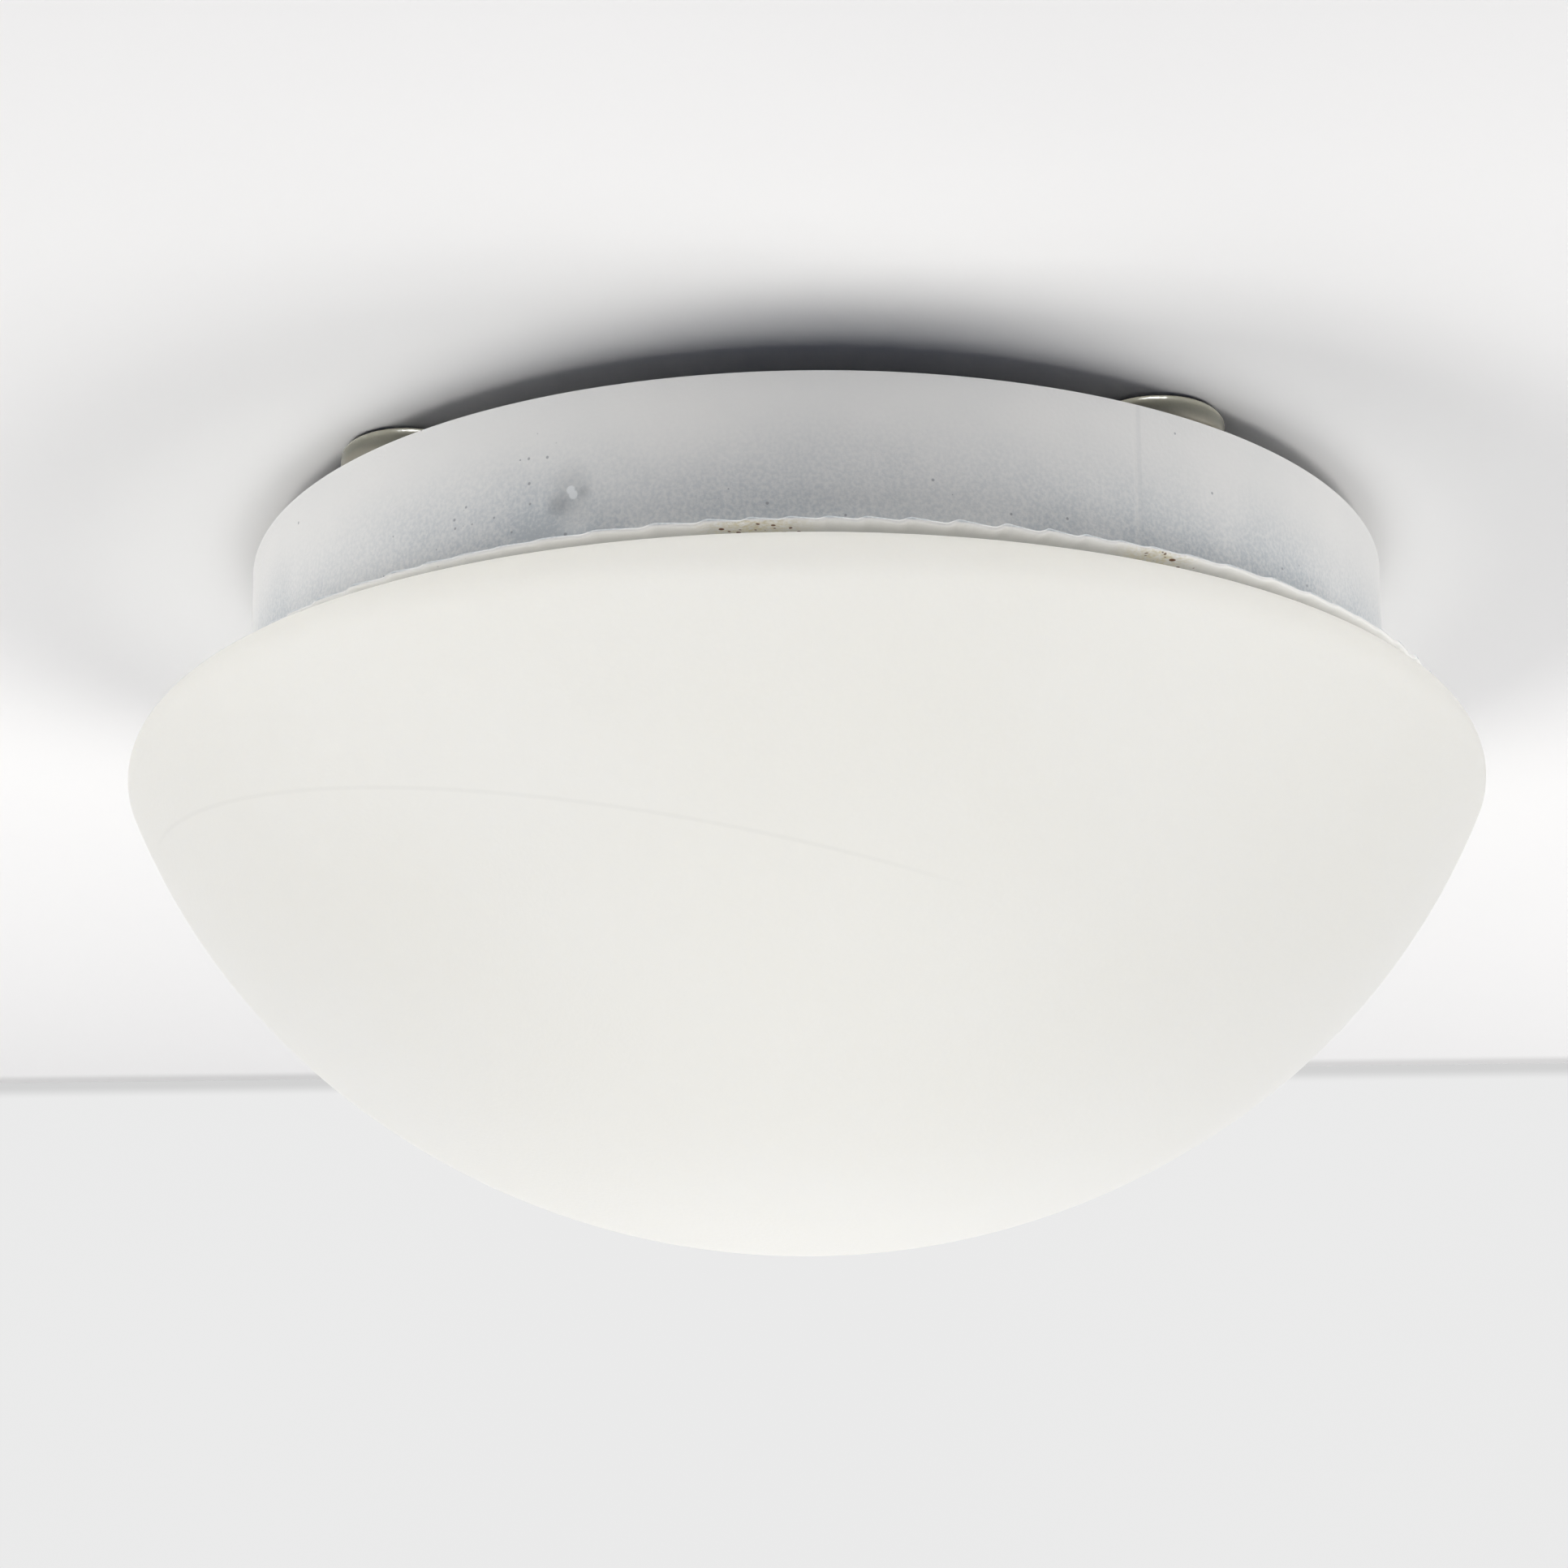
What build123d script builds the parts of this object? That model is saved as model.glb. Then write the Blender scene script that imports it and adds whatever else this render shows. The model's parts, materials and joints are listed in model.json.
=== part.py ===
from build123d import *
import os
from math import asin, cos, degrees, radians, sin, sqrt, tan

# Flush ceiling light: a steel drum on silicone pads, an opal glass shade held in spring clips,
# and a lampholder with its bulb, wiring and earth point inside.
# The origin is the centre of the ceiling plane. +Z points up into the ceiling.
# Sizes are millimetres. Angles are degrees about +Z, counted from +X.

os.makedirs("parts", exist_ok=True)

# Ceiling pads
pad_count = 4
pad_diameter = 24.0
pad_thickness = 5.5
pad_edge_radius = 2.2
pad_first_angle = -50.5
pad_rim_inset = 0.5

# Drum: back plate and wall
pan_diameter = 211.0
pan_height = 31.4
sheet = 0.8
lip_width = 7.0
lip_bend_radius = 0.9
flange_width = 11.5
flange_bend_radius = 1.4
dimple_diameter = 7.0
dimple_depth = 0.5
dimple_above_flange = 9.2
button_diameter = 4.0
button_head = 0.5

# Ceiling screw slots in the back plate
slot_spacing = 140.0
slot_length = 12.0
slot_width = 5.2

# Glass shade
glass_diameter = 250.0
glass_wall = 3.0
glass_depth = 81.8
shoulder_radius = 7.5
flank_lean = 23.5
cap_half_angle = 36.0
shade_gap = 2.8
shade_off_centre = 1.9
neck_setback = 7.5
neck_height = 18.0
neck_fillet = 3.0
bead_height = 4.0
bead_out = 1.8
rim_rise = 0.8

# Leaf-spring clips, clinched to the drum wall at the dimples
clip_count = 3
clip_first_angle = -112.3
clip_width = 12.0
clip_strip = 0.4
clip_rise = 15.0
clip_tail = 4.0
clip_loop = 2.5
clip_bend_radius = 1.1
clip_nose_drop = 3.2
clip_flare = 3.5

# Bulb and its screw cap
bulb_axis_depth = 46.0
bulb_tip_x = -46.0
bulb_length = 108.0
globe_diameter = 60.0
globe_wall = 0.8
globe_neck_radius = 12.4
globe_tangent_angle = 48.0
cap_diameter = 26.2
cap_root_diameter = 24.0
cap_sheet = 0.4
thread_pitch = 3.62
thread_rings = 5
thread_start = 6.2
cap_skirt = 2.6
tip_radius = 4.6
tip_height = 1.4
insulator_back_radius = 6.0
insulator_height = 3.6
stem_radius = 4.0
stem_length = 24.0
stem_flare_height = 1.2
filament_wire = 0.8
filament_reach = 16.0
filament_span = 24.0
filament_foot_span = 5.0
filament_bend_radius = 2.5

# Lampholder and its bracket
holder_radius = 20.5
holder_back = 13.0
holder_floor = 9.0
holder_mouth = 31.0
holder_edge_radius = 2.0
sleeve_sheet = 0.4
contact_strip = 0.4
contact_width = 6.0
contact_foot_drop = 8.0
contact_foot_length = 5.0
contact_tail_rise = 6.0
contact_bend_radius = 1.0
bracket_strip = 1.0
bracket_width = 16.0
bracket_foot = 26.0
bracket_below_axis = 17.0
bracket_bend_radius = 2.0
holder_screw_spacing = 24.0
holder_screw_radius = 1.45
holder_screw_depth = 7.0
holder_wire_spacing = 24.0
holder_wire_depth = 5.5
rivet_spacing = 9.0
rivet_radius = 1.6
rivet_head_radius = 3.0
rivet_head = 0.9

# Terminal block
block_x = 26.0
block_y = 49.0
block_length = 24.0
block_depth = 13.0
block_edge_radius = 1.0
pole_count = 3
pole_pitch = 9.0
tube_radius = 2.6
tube_bore_radius = 1.6
tube_length = 22.0
clamp_pitch = 12.0
clamp_radius = 1.2
clamp_head_radius = 1.8
clamp_head = 1.5
block_screw_radius = 1.45

# Earth point
earth_x = -24.0
earth_screw_radius = 1.95
earth_head_radius = 3.8
earth_head = 2.4
washer_radius = 4.4
washer_thickness = 0.8
lug_thickness = 0.8
lug_radius = 4.2
lug_neck = 5.5
lug_barrel_length = 6.0
lug_barrel_wall = 0.5
nut_across_flats = 7.0
nut_height = 3.0

# Cable grommet
grommet_x = 54.0
grommet_y = 34.0
grommet_radius = 10.0
grommet_neck_radius = 7.0
grommet_flange = 2.0
grommet_nozzle = 5.0
cable_radius = 4.0

# Wires
wire_radius = 1.1
wire_in_tube = 8.0

# Clearances
fit_gap = 0.1
running_gap = 0.35
clip_gap = 0.3

# Levels and radii that follow from the sizes
plate_top = -pad_thickness
plate_low = plate_top - sheet
flange_low = plate_top - pan_height
pan_radius = pan_diameter / 2
wall_inside = pan_radius - sheet
dimple_z = flange_low + dimple_above_flange
glass_radius = glass_diameter / 2
neck_radius = pan_radius - neck_setback
shoulder_top = flange_low - shade_gap
neck_top = shoulder_top + neck_height
bead_low = neck_top - bead_height
axis_z = -bulb_axis_depth
holder_back_x = bulb_tip_x - holder_back
tube_z = plate_low - block_depth / 2
pole_places = [block_y + pole_pitch * (n - (pole_count - 1) / 2) for n in range(pole_count)]
clip_angles = [clip_first_angle + n * 360 / clip_count for n in range(clip_count)]
pad_angles = [pad_first_angle + n * 360 / pad_count for n in range(pad_count)]
pad_circle = pan_radius - pad_rim_inset - pad_diameter / 2
earth_y = pole_places[-1]


def radial_plane(angle, radius, z):
    """Plane at a point on a circle about +Z, with its normal pointing outwards and local y up."""
    out = (cos(radians(angle)), sin(radians(angle)), 0)
    along = (-sin(radians(angle)), cos(radians(angle)), 0)
    return Plane(origin=(radius * out[0], radius * out[1], z), x_dir=along, z_dir=out)


# Profiles of turned pieces: local x is the distance from +Z, local y is the height.
lamp_section = Plane.XZ

# Profiles about the bulb's axis: local x runs from the bulb's tip to its crown, local y is the radius.
bulb_section = Plane(origin=(bulb_tip_x, 0, axis_z), x_dir=(1, 0, 0), z_dir=(0, -1, 0))
bulb_axis = Axis((bulb_tip_x, 0, axis_z), (1, 0, 0))

# Silicone pads
for number, angle in enumerate(pad_angles, start=1):
    seat = Plane.XY.offset(plate_top)
    with BuildPart() as spacer_pad:
        with BuildSketch(seat):
            with PolarLocations(pad_circle, 1, start_angle=angle):
                Circle(pad_diameter / 2)
        extrude(amount=pad_thickness)
        fillet(spacer_pad.edges().filter_by(GeomType.CIRCLE), radius=pad_edge_radius)
    spacer_pad.part.label = f"spacer_pad_{number}"
    export_step(spacer_pad.part, f"parts/spacer_pad_{number}.step")

# Back plate, with its slots and holes
with BuildPart() as back_plate:
    with BuildSketch(Plane.XY.offset(plate_low)):
        Circle(pan_radius)
        with Locations((0, slot_spacing / 2), (0, -slot_spacing / 2)):
            SlotOverall(slot_length, slot_width, rotation=90, mode=Mode.SUBTRACT)
        with Locations((grommet_x, grommet_y)):
            Circle(grommet_neck_radius, mode=Mode.SUBTRACT)
        with Locations((block_x, block_y + pole_pitch / 2)):
            Circle(block_screw_radius + fit_gap, mode=Mode.SUBTRACT)
        with Locations((earth_x, earth_y)):
            Circle(earth_screw_radius + fit_gap, mode=Mode.SUBTRACT)
        with Locations((holder_back_x + bracket_foot / 2, 0)):
            with GridLocations(0, rivet_spacing, 1, 2):
                Circle(rivet_radius + fit_gap, mode=Mode.SUBTRACT)
    extrude(amount=sheet)
back_plate.part.label = "back_plate"
export_step(back_plate.part, "parts/back_plate.step")

# Drum wall: lip turned in under the back plate, upright band, flange turned out
wall_line = pan_radius - sheet / 2
with BuildPart() as drum_wall:
    with BuildSketch(lamp_section):
        with BuildLine():
            FilletPolyline(
                (wall_line - lip_width, plate_low - sheet / 2),
                (wall_line, plate_low - sheet / 2),
                (wall_line, flange_low + sheet / 2),
                (pan_radius + flange_width, flange_low + sheet / 2),
                radius=[lip_bend_radius, flange_bend_radius],
            )
        trace(line_width=sheet)
    revolve(axis=Axis.Z)
    for angle in clip_angles:
        with BuildSketch(radial_plane(angle, wall_inside + sheet / 4, dimple_z)):
            Circle(button_diameter / 2)
        extrude(amount=-(sheet / 4 + clip_gap + clip_strip + button_head))
        with BuildSketch(radial_plane(angle, pan_radius + sheet, dimple_z)):
            Circle(dimple_diameter / 2)
        extrude(amount=-(sheet + dimple_depth), mode=Mode.SUBTRACT)
drum_wall.part.label = "drum_wall"
export_step(drum_wall.part, "parts/drum_wall.step")

# Leaf-spring clips: up the wall, over a loop, down to a nose under the neck bead, then a flare.
# Each nose follows the neck, which stands off centre.
clip_seat = sqrt(wall_inside**2 - (clip_width / 2) ** 2) - clip_gap / 6
strip_line = clip_seat - clip_strip / 2
loop_line = strip_line - clip_loop
for number, angle in enumerate(clip_angles, start=1):
    neck_here = neck_radius - shade_off_centre * cos(radians(angle))
    nose_line = neck_here + clip_gap + clip_strip / 2
    section = Plane(
        origin=(0, 0, 0),
        x_dir=(cos(radians(angle)), sin(radians(angle)), 0),
        z_dir=(sin(radians(angle)), -cos(radians(angle)), 0),
    )
    with BuildPart() as shade_clip:
        with BuildSketch(section):
            with BuildLine():
                FilletPolyline(
                    (strip_line, dimple_z - clip_tail),
                    (strip_line, dimple_z + clip_rise),
                    (loop_line, dimple_z + clip_rise),
                    (loop_line, bead_low),
                    (nose_line, bead_low - clip_nose_drop),
                    (nose_line + clip_flare / 2, bead_low - clip_nose_drop - clip_flare),
                    radius=clip_bend_radius,
                )
            trace(line_width=clip_strip)
        extrude(amount=clip_width / 2, both=True)
        with BuildSketch(radial_plane(angle, wall_inside, dimple_z)):
            Circle(button_diameter / 2 + fit_gap)
        extrude(amount=-(wall_inside - strip_line + clip_strip), mode=Mode.SUBTRACT)
    shade_clip.part.label = f"shade_clip_{number}"
    export_step(shade_clip.part, f"parts/shade_clip_{number}.step")

# Glass shade: cap, flank and shoulder are tangent arcs, and the inner wall shares their centres
widest_z = shoulder_top - shoulder_radius
shade_bottom = widest_z - glass_depth
lean = radians(flank_lean)
cap_angle = radians(cap_half_angle)
shoulder_x = glass_radius - shoulder_radius
flank_reach = (glass_depth - shoulder_radius - shoulder_x * tan(cap_angle / 2)) / (
    1 - sin(lean) - cos(lean) * tan(cap_angle / 2)
)
flank_radius = flank_reach + shoulder_radius
flank_centre = (shoulder_x - flank_reach * cos(lean), widest_z + flank_reach * sin(lean))
cap_radius = flank_radius + flank_centre[0] / sin(cap_angle)
cap_centre = (0, shade_bottom + cap_radius)
shoulder_centre = (shoulder_x, widest_z)
neck_corner = (neck_radius + neck_fillet, shoulder_top + neck_fillet)
flank_span = 90 - cap_half_angle - flank_lean
neck_inside = neck_radius - glass_wall
shade_section = Plane(origin=(-shade_off_centre, 0, 0), x_dir=(1, 0, 0), z_dir=(0, -1, 0))
with BuildPart() as glass_shade:
    with BuildSketch(shade_section):
        with BuildLine():
            CenterArc(cap_centre, cap_radius, -90, cap_half_angle)
            CenterArc(flank_centre, flank_radius, cap_half_angle - 90, flank_span)
            CenterArc(shoulder_centre, shoulder_radius, -flank_lean, 90 + flank_lean)
            Line((shoulder_x, shoulder_top), (neck_corner[0], shoulder_top))
            CenterArc(neck_corner, neck_fillet, -90, -90)
            Line((neck_radius, neck_corner[1]), (neck_radius, bead_low))
            ThreePointArc(
                (neck_radius, bead_low),
                (neck_radius + bead_out, bead_low + bead_height / 2),
                (neck_radius, neck_top),
            )
            ThreePointArc(
                (neck_radius, neck_top),
                (neck_radius - glass_wall / 2, neck_top + rim_rise),
                (neck_inside, neck_top),
            )
            Line((neck_inside, neck_top), (neck_inside, neck_corner[1]))
            CenterArc(neck_corner, neck_fillet + glass_wall, 180, 90)
            Line((neck_corner[0], shoulder_top - glass_wall), (shoulder_x, shoulder_top - glass_wall))
            CenterArc(shoulder_centre, shoulder_radius - glass_wall, 90, -90 - flank_lean)
            CenterArc(flank_centre, flank_radius - glass_wall, -flank_lean, -flank_span)
            CenterArc(cap_centre, cap_radius - glass_wall, cap_half_angle - 90, -cap_half_angle)
            Line((0, shade_bottom + glass_wall), (0, shade_bottom))
        make_face()
    revolve(axis=Axis((-shade_off_centre, 0, 0), (0, 0, 1)))
glass_shade.part.label = "glass_shade"
export_step(glass_shade.part, "parts/glass_shade.step")


def thread_wave(start, crest, root):
    """Rounded thread rings along the bulb's axis, drawn as arcs that bulge out and in by turns."""
    middle = (crest + root) / 2
    quarter = thread_pitch / 4
    for ring in range(thread_rings):
        left = start + ring * thread_pitch
        ThreePointArc((left, middle), (left + quarter, crest), (left + 2 * quarter, middle))
        ThreePointArc((left + 2 * quarter, middle), (left + 3 * quarter, root), (left + 4 * quarter, middle))


# Bulb cap: threaded shell with a plain skirt, open towards the globe
cap_crest = cap_diameter / 2
cap_root = cap_root_diameter / 2
cap_middle = (cap_crest + cap_root) / 2
thread_end = thread_start + thread_rings * thread_pitch
skirt_end = thread_end + cap_skirt
insulator_front = tip_height + insulator_height
with BuildPart() as bulb_cap:
    with BuildSketch(bulb_section):
        with BuildLine():
            Line((insulator_front, cap_root - cap_sheet), (insulator_front, cap_root))
            Line((insulator_front, cap_root), (thread_start, cap_middle))
            thread_wave(thread_start, cap_crest, cap_root)
            Line((thread_end, cap_middle), (skirt_end, cap_middle))
            Line((skirt_end, cap_middle), (skirt_end, cap_root - cap_sheet))
            Line((skirt_end, cap_root - cap_sheet), (insulator_front, cap_root - cap_sheet))
        make_face()
    revolve(axis=bulb_axis)
bulb_cap.part.label = "bulb_cap"
export_step(bulb_cap.part, "parts/bulb_cap.step")

# Bulb insulator: glass cone between the cap and the tip
with BuildPart() as bulb_insulator:
    with BuildSketch(bulb_section):
        with BuildLine():
            Polyline(
                (tip_height, 0),
                (tip_height, insulator_back_radius),
                (insulator_front, cap_root),
                (insulator_front, 0),
                close=True,
            )
        make_face()
    revolve(axis=bulb_axis)
bulb_insulator.part.label = "bulb_insulator"
export_step(bulb_insulator.part, "parts/bulb_insulator.step")

# Bulb tip contact: a low button of solder
tip_dome = (tip_radius**2 + tip_height**2) / (2 * tip_height)
with BuildPart() as bulb_contact:
    with BuildSketch(bulb_section):
        with BuildLine():
            CenterArc((tip_dome, 0), tip_dome, 180, -degrees(asin(tip_radius / tip_dome)))
            Line((tip_height, tip_radius), (tip_height, 0))
            Line((tip_height, 0), (0, 0))
        make_face()
    revolve(axis=bulb_axis)
bulb_contact.part.label = "bulb_contact"
export_step(bulb_contact.part, "parts/bulb_contact.step")

# Bulb globe: a ball that narrows to a neck, which stands inside the cap
globe_radius = globe_diameter / 2
globe_centre = bulb_length - globe_radius
globe_turn = radians(globe_tangent_angle)
neck_foot = thread_end - thread_pitch
neck_in_cap = cap_root - cap_sheet - fit_gap
with BuildPart() as bulb_globe:
    for inset, mode in ((0, Mode.ADD), (globe_wall, Mode.SUBTRACT)):
        ball = globe_radius - inset
        shoulder = (globe_centre - ball * sin(globe_turn), ball * cos(globe_turn))
        with BuildSketch(bulb_section):
            with BuildLine():
                Line((neck_foot, 0), (neck_foot, neck_in_cap - inset))
                Line((neck_foot, neck_in_cap - inset), (skirt_end, neck_in_cap - inset))
                Line((skirt_end, neck_in_cap - inset), (skirt_end + cap_skirt, globe_neck_radius - inset))
                Spline(
                    (skirt_end + cap_skirt, globe_neck_radius - inset),
                    shoulder,
                    tangents=((1, 0), (cos(globe_turn), sin(globe_turn))),
                )
                CenterArc((globe_centre, 0), ball, 90 + globe_tangent_angle, -90 - globe_tangent_angle)
                Line((globe_centre + ball, 0), (neck_foot, 0))
            make_face()
        revolve(axis=bulb_axis, mode=mode)
bulb_globe.part.label = "bulb_globe"
export_step(bulb_globe.part, "parts/bulb_globe.step")

# Bulb stem: a flared foot in the globe's neck and a rod that carries the filament
stem_foot = neck_foot + globe_wall
stem_top = stem_foot + stem_length
stem_flare_radius = neck_in_cap - globe_wall - fit_gap
with BuildPart() as bulb_stem:
    with BuildSketch(bulb_section):
        with BuildLine():
            Polyline(
                (stem_foot, 0),
                (stem_foot, stem_flare_radius),
                (stem_foot + stem_flare_height, stem_flare_radius),
                (stem_foot + 3 * stem_flare_height, stem_radius),
                (stem_top, stem_radius),
                (stem_top, 0),
                close=True,
            )
        make_face()
    revolve(axis=bulb_axis)
bulb_stem.part.label = "bulb_stem"
export_step(bulb_stem.part, "parts/bulb_stem.step")

# Filament and its two lead wires, bent from one wire in a level plane
bulb_level = Plane(origin=(bulb_tip_x, 0, axis_z), x_dir=(1, 0, 0), z_dir=(0, 0, 1))
with BuildPart() as bulb_filament:
    with BuildLine(bulb_level) as filament_path:
        FilletPolyline(
            (stem_top, -filament_foot_span / 2),
            (stem_top + filament_reach / 4, -filament_foot_span / 2),
            (stem_top + filament_reach, -filament_span / 2),
            (stem_top + filament_reach, filament_span / 2),
            (stem_top + filament_reach / 4, filament_foot_span / 2),
            (stem_top, filament_foot_span / 2),
            radius=filament_bend_radius,
        )
    with BuildSketch(Plane(origin=filament_path.line @ 0, z_dir=filament_path.line % 0)):
        Circle(filament_wire / 2)
    sweep(path=filament_path.line)
bulb_filament.part.label = "bulb_filament"
export_step(bulb_filament.part, "parts/bulb_filament.step")

# Lampholder body: porcelain cup with a floor, fixing holes and wire holes in its back
sleeve_root = cap_root + running_gap
sleeve_crest = cap_crest + running_gap
holder_bore = sleeve_crest + sleeve_sheet + fit_gap
floor_face = -holder_back + holder_floor
holder_back_plane = Plane(origin=(holder_back_x, 0, axis_z), x_dir=(0, 1, 0), z_dir=(1, 0, 0))
with BuildPart() as holder_body:
    with BuildSketch(bulb_section):
        with BuildLine():
            Polyline(
                (-holder_back, 0),
                (-holder_back, holder_radius),
                (holder_mouth, holder_radius),
                (holder_mouth, holder_bore),
                (floor_face, holder_bore),
                (floor_face, 0),
                close=True,
            )
        make_face()
    revolve(axis=bulb_axis)
    outer_rims = holder_body.edges().filter_by(GeomType.CIRCLE).group_by(SortBy.RADIUS)[-1]
    fillet(outer_rims, radius=holder_edge_radius)
    with BuildSketch(holder_back_plane):
        with GridLocations(0, holder_screw_spacing, 1, 2):
            Circle(holder_screw_radius + fit_gap)
    extrude(amount=holder_screw_depth, mode=Mode.SUBTRACT)
    with BuildSketch(holder_back_plane):
        with GridLocations(holder_wire_spacing, 0, 2, 1):
            Circle(wire_radius + fit_gap)
    extrude(amount=holder_wire_depth + fit_gap, mode=Mode.SUBTRACT)
holder_body.part.label = "holder_body"
export_step(holder_body.part, "parts/holder_body.step")

# Lampholder sleeve: thin threaded brass, rings in step with those of the cap
sleeve_middle = (sleeve_crest + sleeve_root) / 2
with BuildPart() as holder_sleeve:
    with BuildSketch(bulb_section):
        with BuildLine():
            Line((thread_start, sleeve_crest + sleeve_sheet), (thread_start, sleeve_middle))
            thread_wave(thread_start, sleeve_crest, sleeve_root)
            Line((thread_end, sleeve_middle), (thread_end, sleeve_crest + sleeve_sheet))
            Line((thread_end, sleeve_crest + sleeve_sheet), (thread_start, sleeve_crest + sleeve_sheet))
        make_face()
    revolve(axis=bulb_axis)
holder_sleeve.part.label = "holder_sleeve"
export_step(holder_sleeve.part, "parts/holder_sleeve.step")

# Lampholder centre contact: a leaf that rises from the floor to just under the bulb's tip
contact_floor = floor_face + contact_strip / 2
contact_tip = -clip_gap - contact_strip / 2
with BuildPart() as holder_contact:
    with BuildSketch(bulb_section):
        with BuildLine():
            FilletPolyline(
                (contact_floor, -contact_foot_drop),
                (contact_floor, contact_foot_length - contact_foot_drop),
                (contact_tip, 0),
                (contact_tip - contact_strip, contact_tail_rise),
                radius=contact_bend_radius,
            )
        trace(line_width=contact_strip)
    extrude(amount=contact_width / 2, both=True)
holder_contact.part.label = "holder_contact"
export_step(holder_contact.part, "parts/holder_contact.step")

# Lampholder bracket: strip bent from the back plate down behind the lampholder
bracket_line = holder_back_x - bracket_strip / 2
foot_line = plate_low - bracket_strip / 2
foot_hole_plane = Plane.XY.offset(plate_low)
with BuildPart() as holder_bracket:
    with BuildSketch(lamp_section):
        with BuildLine():
            FilletPolyline(
                (bracket_line + bracket_foot, foot_line),
                (bracket_line, foot_line),
                (bracket_line, axis_z - bracket_below_axis),
                radius=bracket_bend_radius,
            )
        trace(line_width=bracket_strip)
    extrude(amount=bracket_width / 2, both=True)
    with BuildSketch(foot_hole_plane):
        with Locations((holder_back_x + bracket_foot / 2, 0)):
            with GridLocations(0, rivet_spacing, 1, 2):
                Circle(rivet_radius + fit_gap)
    extrude(amount=-bracket_strip, mode=Mode.SUBTRACT)
    with BuildSketch(holder_back_plane):
        with GridLocations(0, holder_screw_spacing, 1, 2):
            Circle(holder_screw_radius + fit_gap)
    extrude(amount=-bracket_strip, mode=Mode.SUBTRACT)
holder_bracket.part.label = "holder_bracket"
export_step(holder_bracket.part, "parts/holder_bracket.step")

# Bracket rivets, headed above the back plate and below the foot
with BuildPart() as bracket_rivets:
    with Locations((holder_back_x + bracket_foot / 2, 0, 0)):
        with GridLocations(0, rivet_spacing, 1, 2):
            with Locations((0, 0, plate_top)):
                Cylinder(rivet_head_radius, rivet_head, align=(Align.CENTER, Align.CENTER, Align.MIN))
            with Locations((0, 0, plate_low - bracket_strip)):
                Cylinder(rivet_radius, sheet + bracket_strip, align=(Align.CENTER, Align.CENTER, Align.MIN))
                Cylinder(rivet_head_radius, rivet_head, align=(Align.CENTER, Align.CENTER, Align.MAX))
    rivet_rims = bracket_rivets.faces().filter_by(Axis.Z).group_by(Axis.Z)
    fillet(rivet_rims[-1].edges() + rivet_rims[0].edges(), radius=rivet_head / 2)
bracket_rivets.part.label = "bracket_rivets"
export_step(bracket_rivets.part, "parts/bracket_rivets.step")

# Lampholder screws, with heads behind the bracket
screw_head_plane = Plane(origin=(holder_back_x - bracket_strip, 0, axis_z), x_dir=(0, 1, 0), z_dir=(-1, 0, 0))
holder_screw_head = 2 * holder_screw_radius
with BuildPart() as holder_screws:
    with BuildSketch(screw_head_plane):
        with GridLocations(0, holder_screw_spacing, 1, 2):
            Circle(holder_screw_head)
    extrude(amount=holder_screw_radius * 1.4)
    fillet(holder_screws.edges().filter_by(GeomType.CIRCLE).group_by(Axis.X)[0], radius=holder_screw_radius / 2)
    with BuildSketch(screw_head_plane):
        with GridLocations(0, holder_screw_spacing, 1, 2):
            Circle(holder_screw_radius)
    extrude(amount=-(bracket_strip + holder_screw_depth - fit_gap))
    with BuildSketch(screw_head_plane.offset(holder_screw_radius * 1.4)):
        with GridLocations(0, holder_screw_spacing, 1, 2):
            Rectangle(2 * holder_screw_head, holder_screw_radius / 2)
    extrude(amount=-holder_screw_radius / 2, mode=Mode.SUBTRACT)
holder_screws.part.label = "holder_screws"
export_step(holder_screws.part, "parts/holder_screws.step")

# Terminal block body: bores for the tubes, wells for the clamp screws, a hole for the fixing screw
block_width = pole_count * pole_pitch + pole_pitch / 3
block_low = plate_low - block_depth
block_face = Plane(origin=(block_x, block_y, block_low), x_dir=(1, 0, 0), z_dir=(0, 0, 1))
block_end = Plane(origin=(block_x - block_length / 2, block_y, tube_z), x_dir=(0, 1, 0), z_dir=(1, 0, 0))
fixing_place = (0, pole_pitch / 2)
with BuildPart() as terminal_block:
    with BuildSketch(block_face):
        RectangleRounded(block_length, block_width, block_edge_radius)
    extrude(amount=block_depth)
    chamfer(terminal_block.faces().sort_by(Axis.Z)[0].edges(), length=block_edge_radius / 2)
    with BuildSketch(block_end):
        with GridLocations(pole_pitch, 0, pole_count, 1):
            Circle(tube_radius + fit_gap)
    extrude(amount=block_length, mode=Mode.SUBTRACT)
    with BuildSketch(block_face):
        with GridLocations(clamp_pitch, pole_pitch, 2, pole_count):
            Circle(clamp_head_radius + fit_gap)
    extrude(amount=block_depth / 2, mode=Mode.SUBTRACT)
    with BuildSketch(block_face):
        with Locations(fixing_place):
            Circle(block_screw_radius + fit_gap)
    extrude(amount=block_depth, mode=Mode.SUBTRACT)
    for side in (-1, 1):
        with BuildSketch(block_face):
            with Locations((0, side * pole_pitch / 2)):
                Rectangle(block_length, block_edge_radius)
        extrude(amount=block_edge_radius / 2, mode=Mode.SUBTRACT)
terminal_block.part.label = "terminal_block"
export_step(terminal_block.part, "parts/terminal_block.step")

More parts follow.
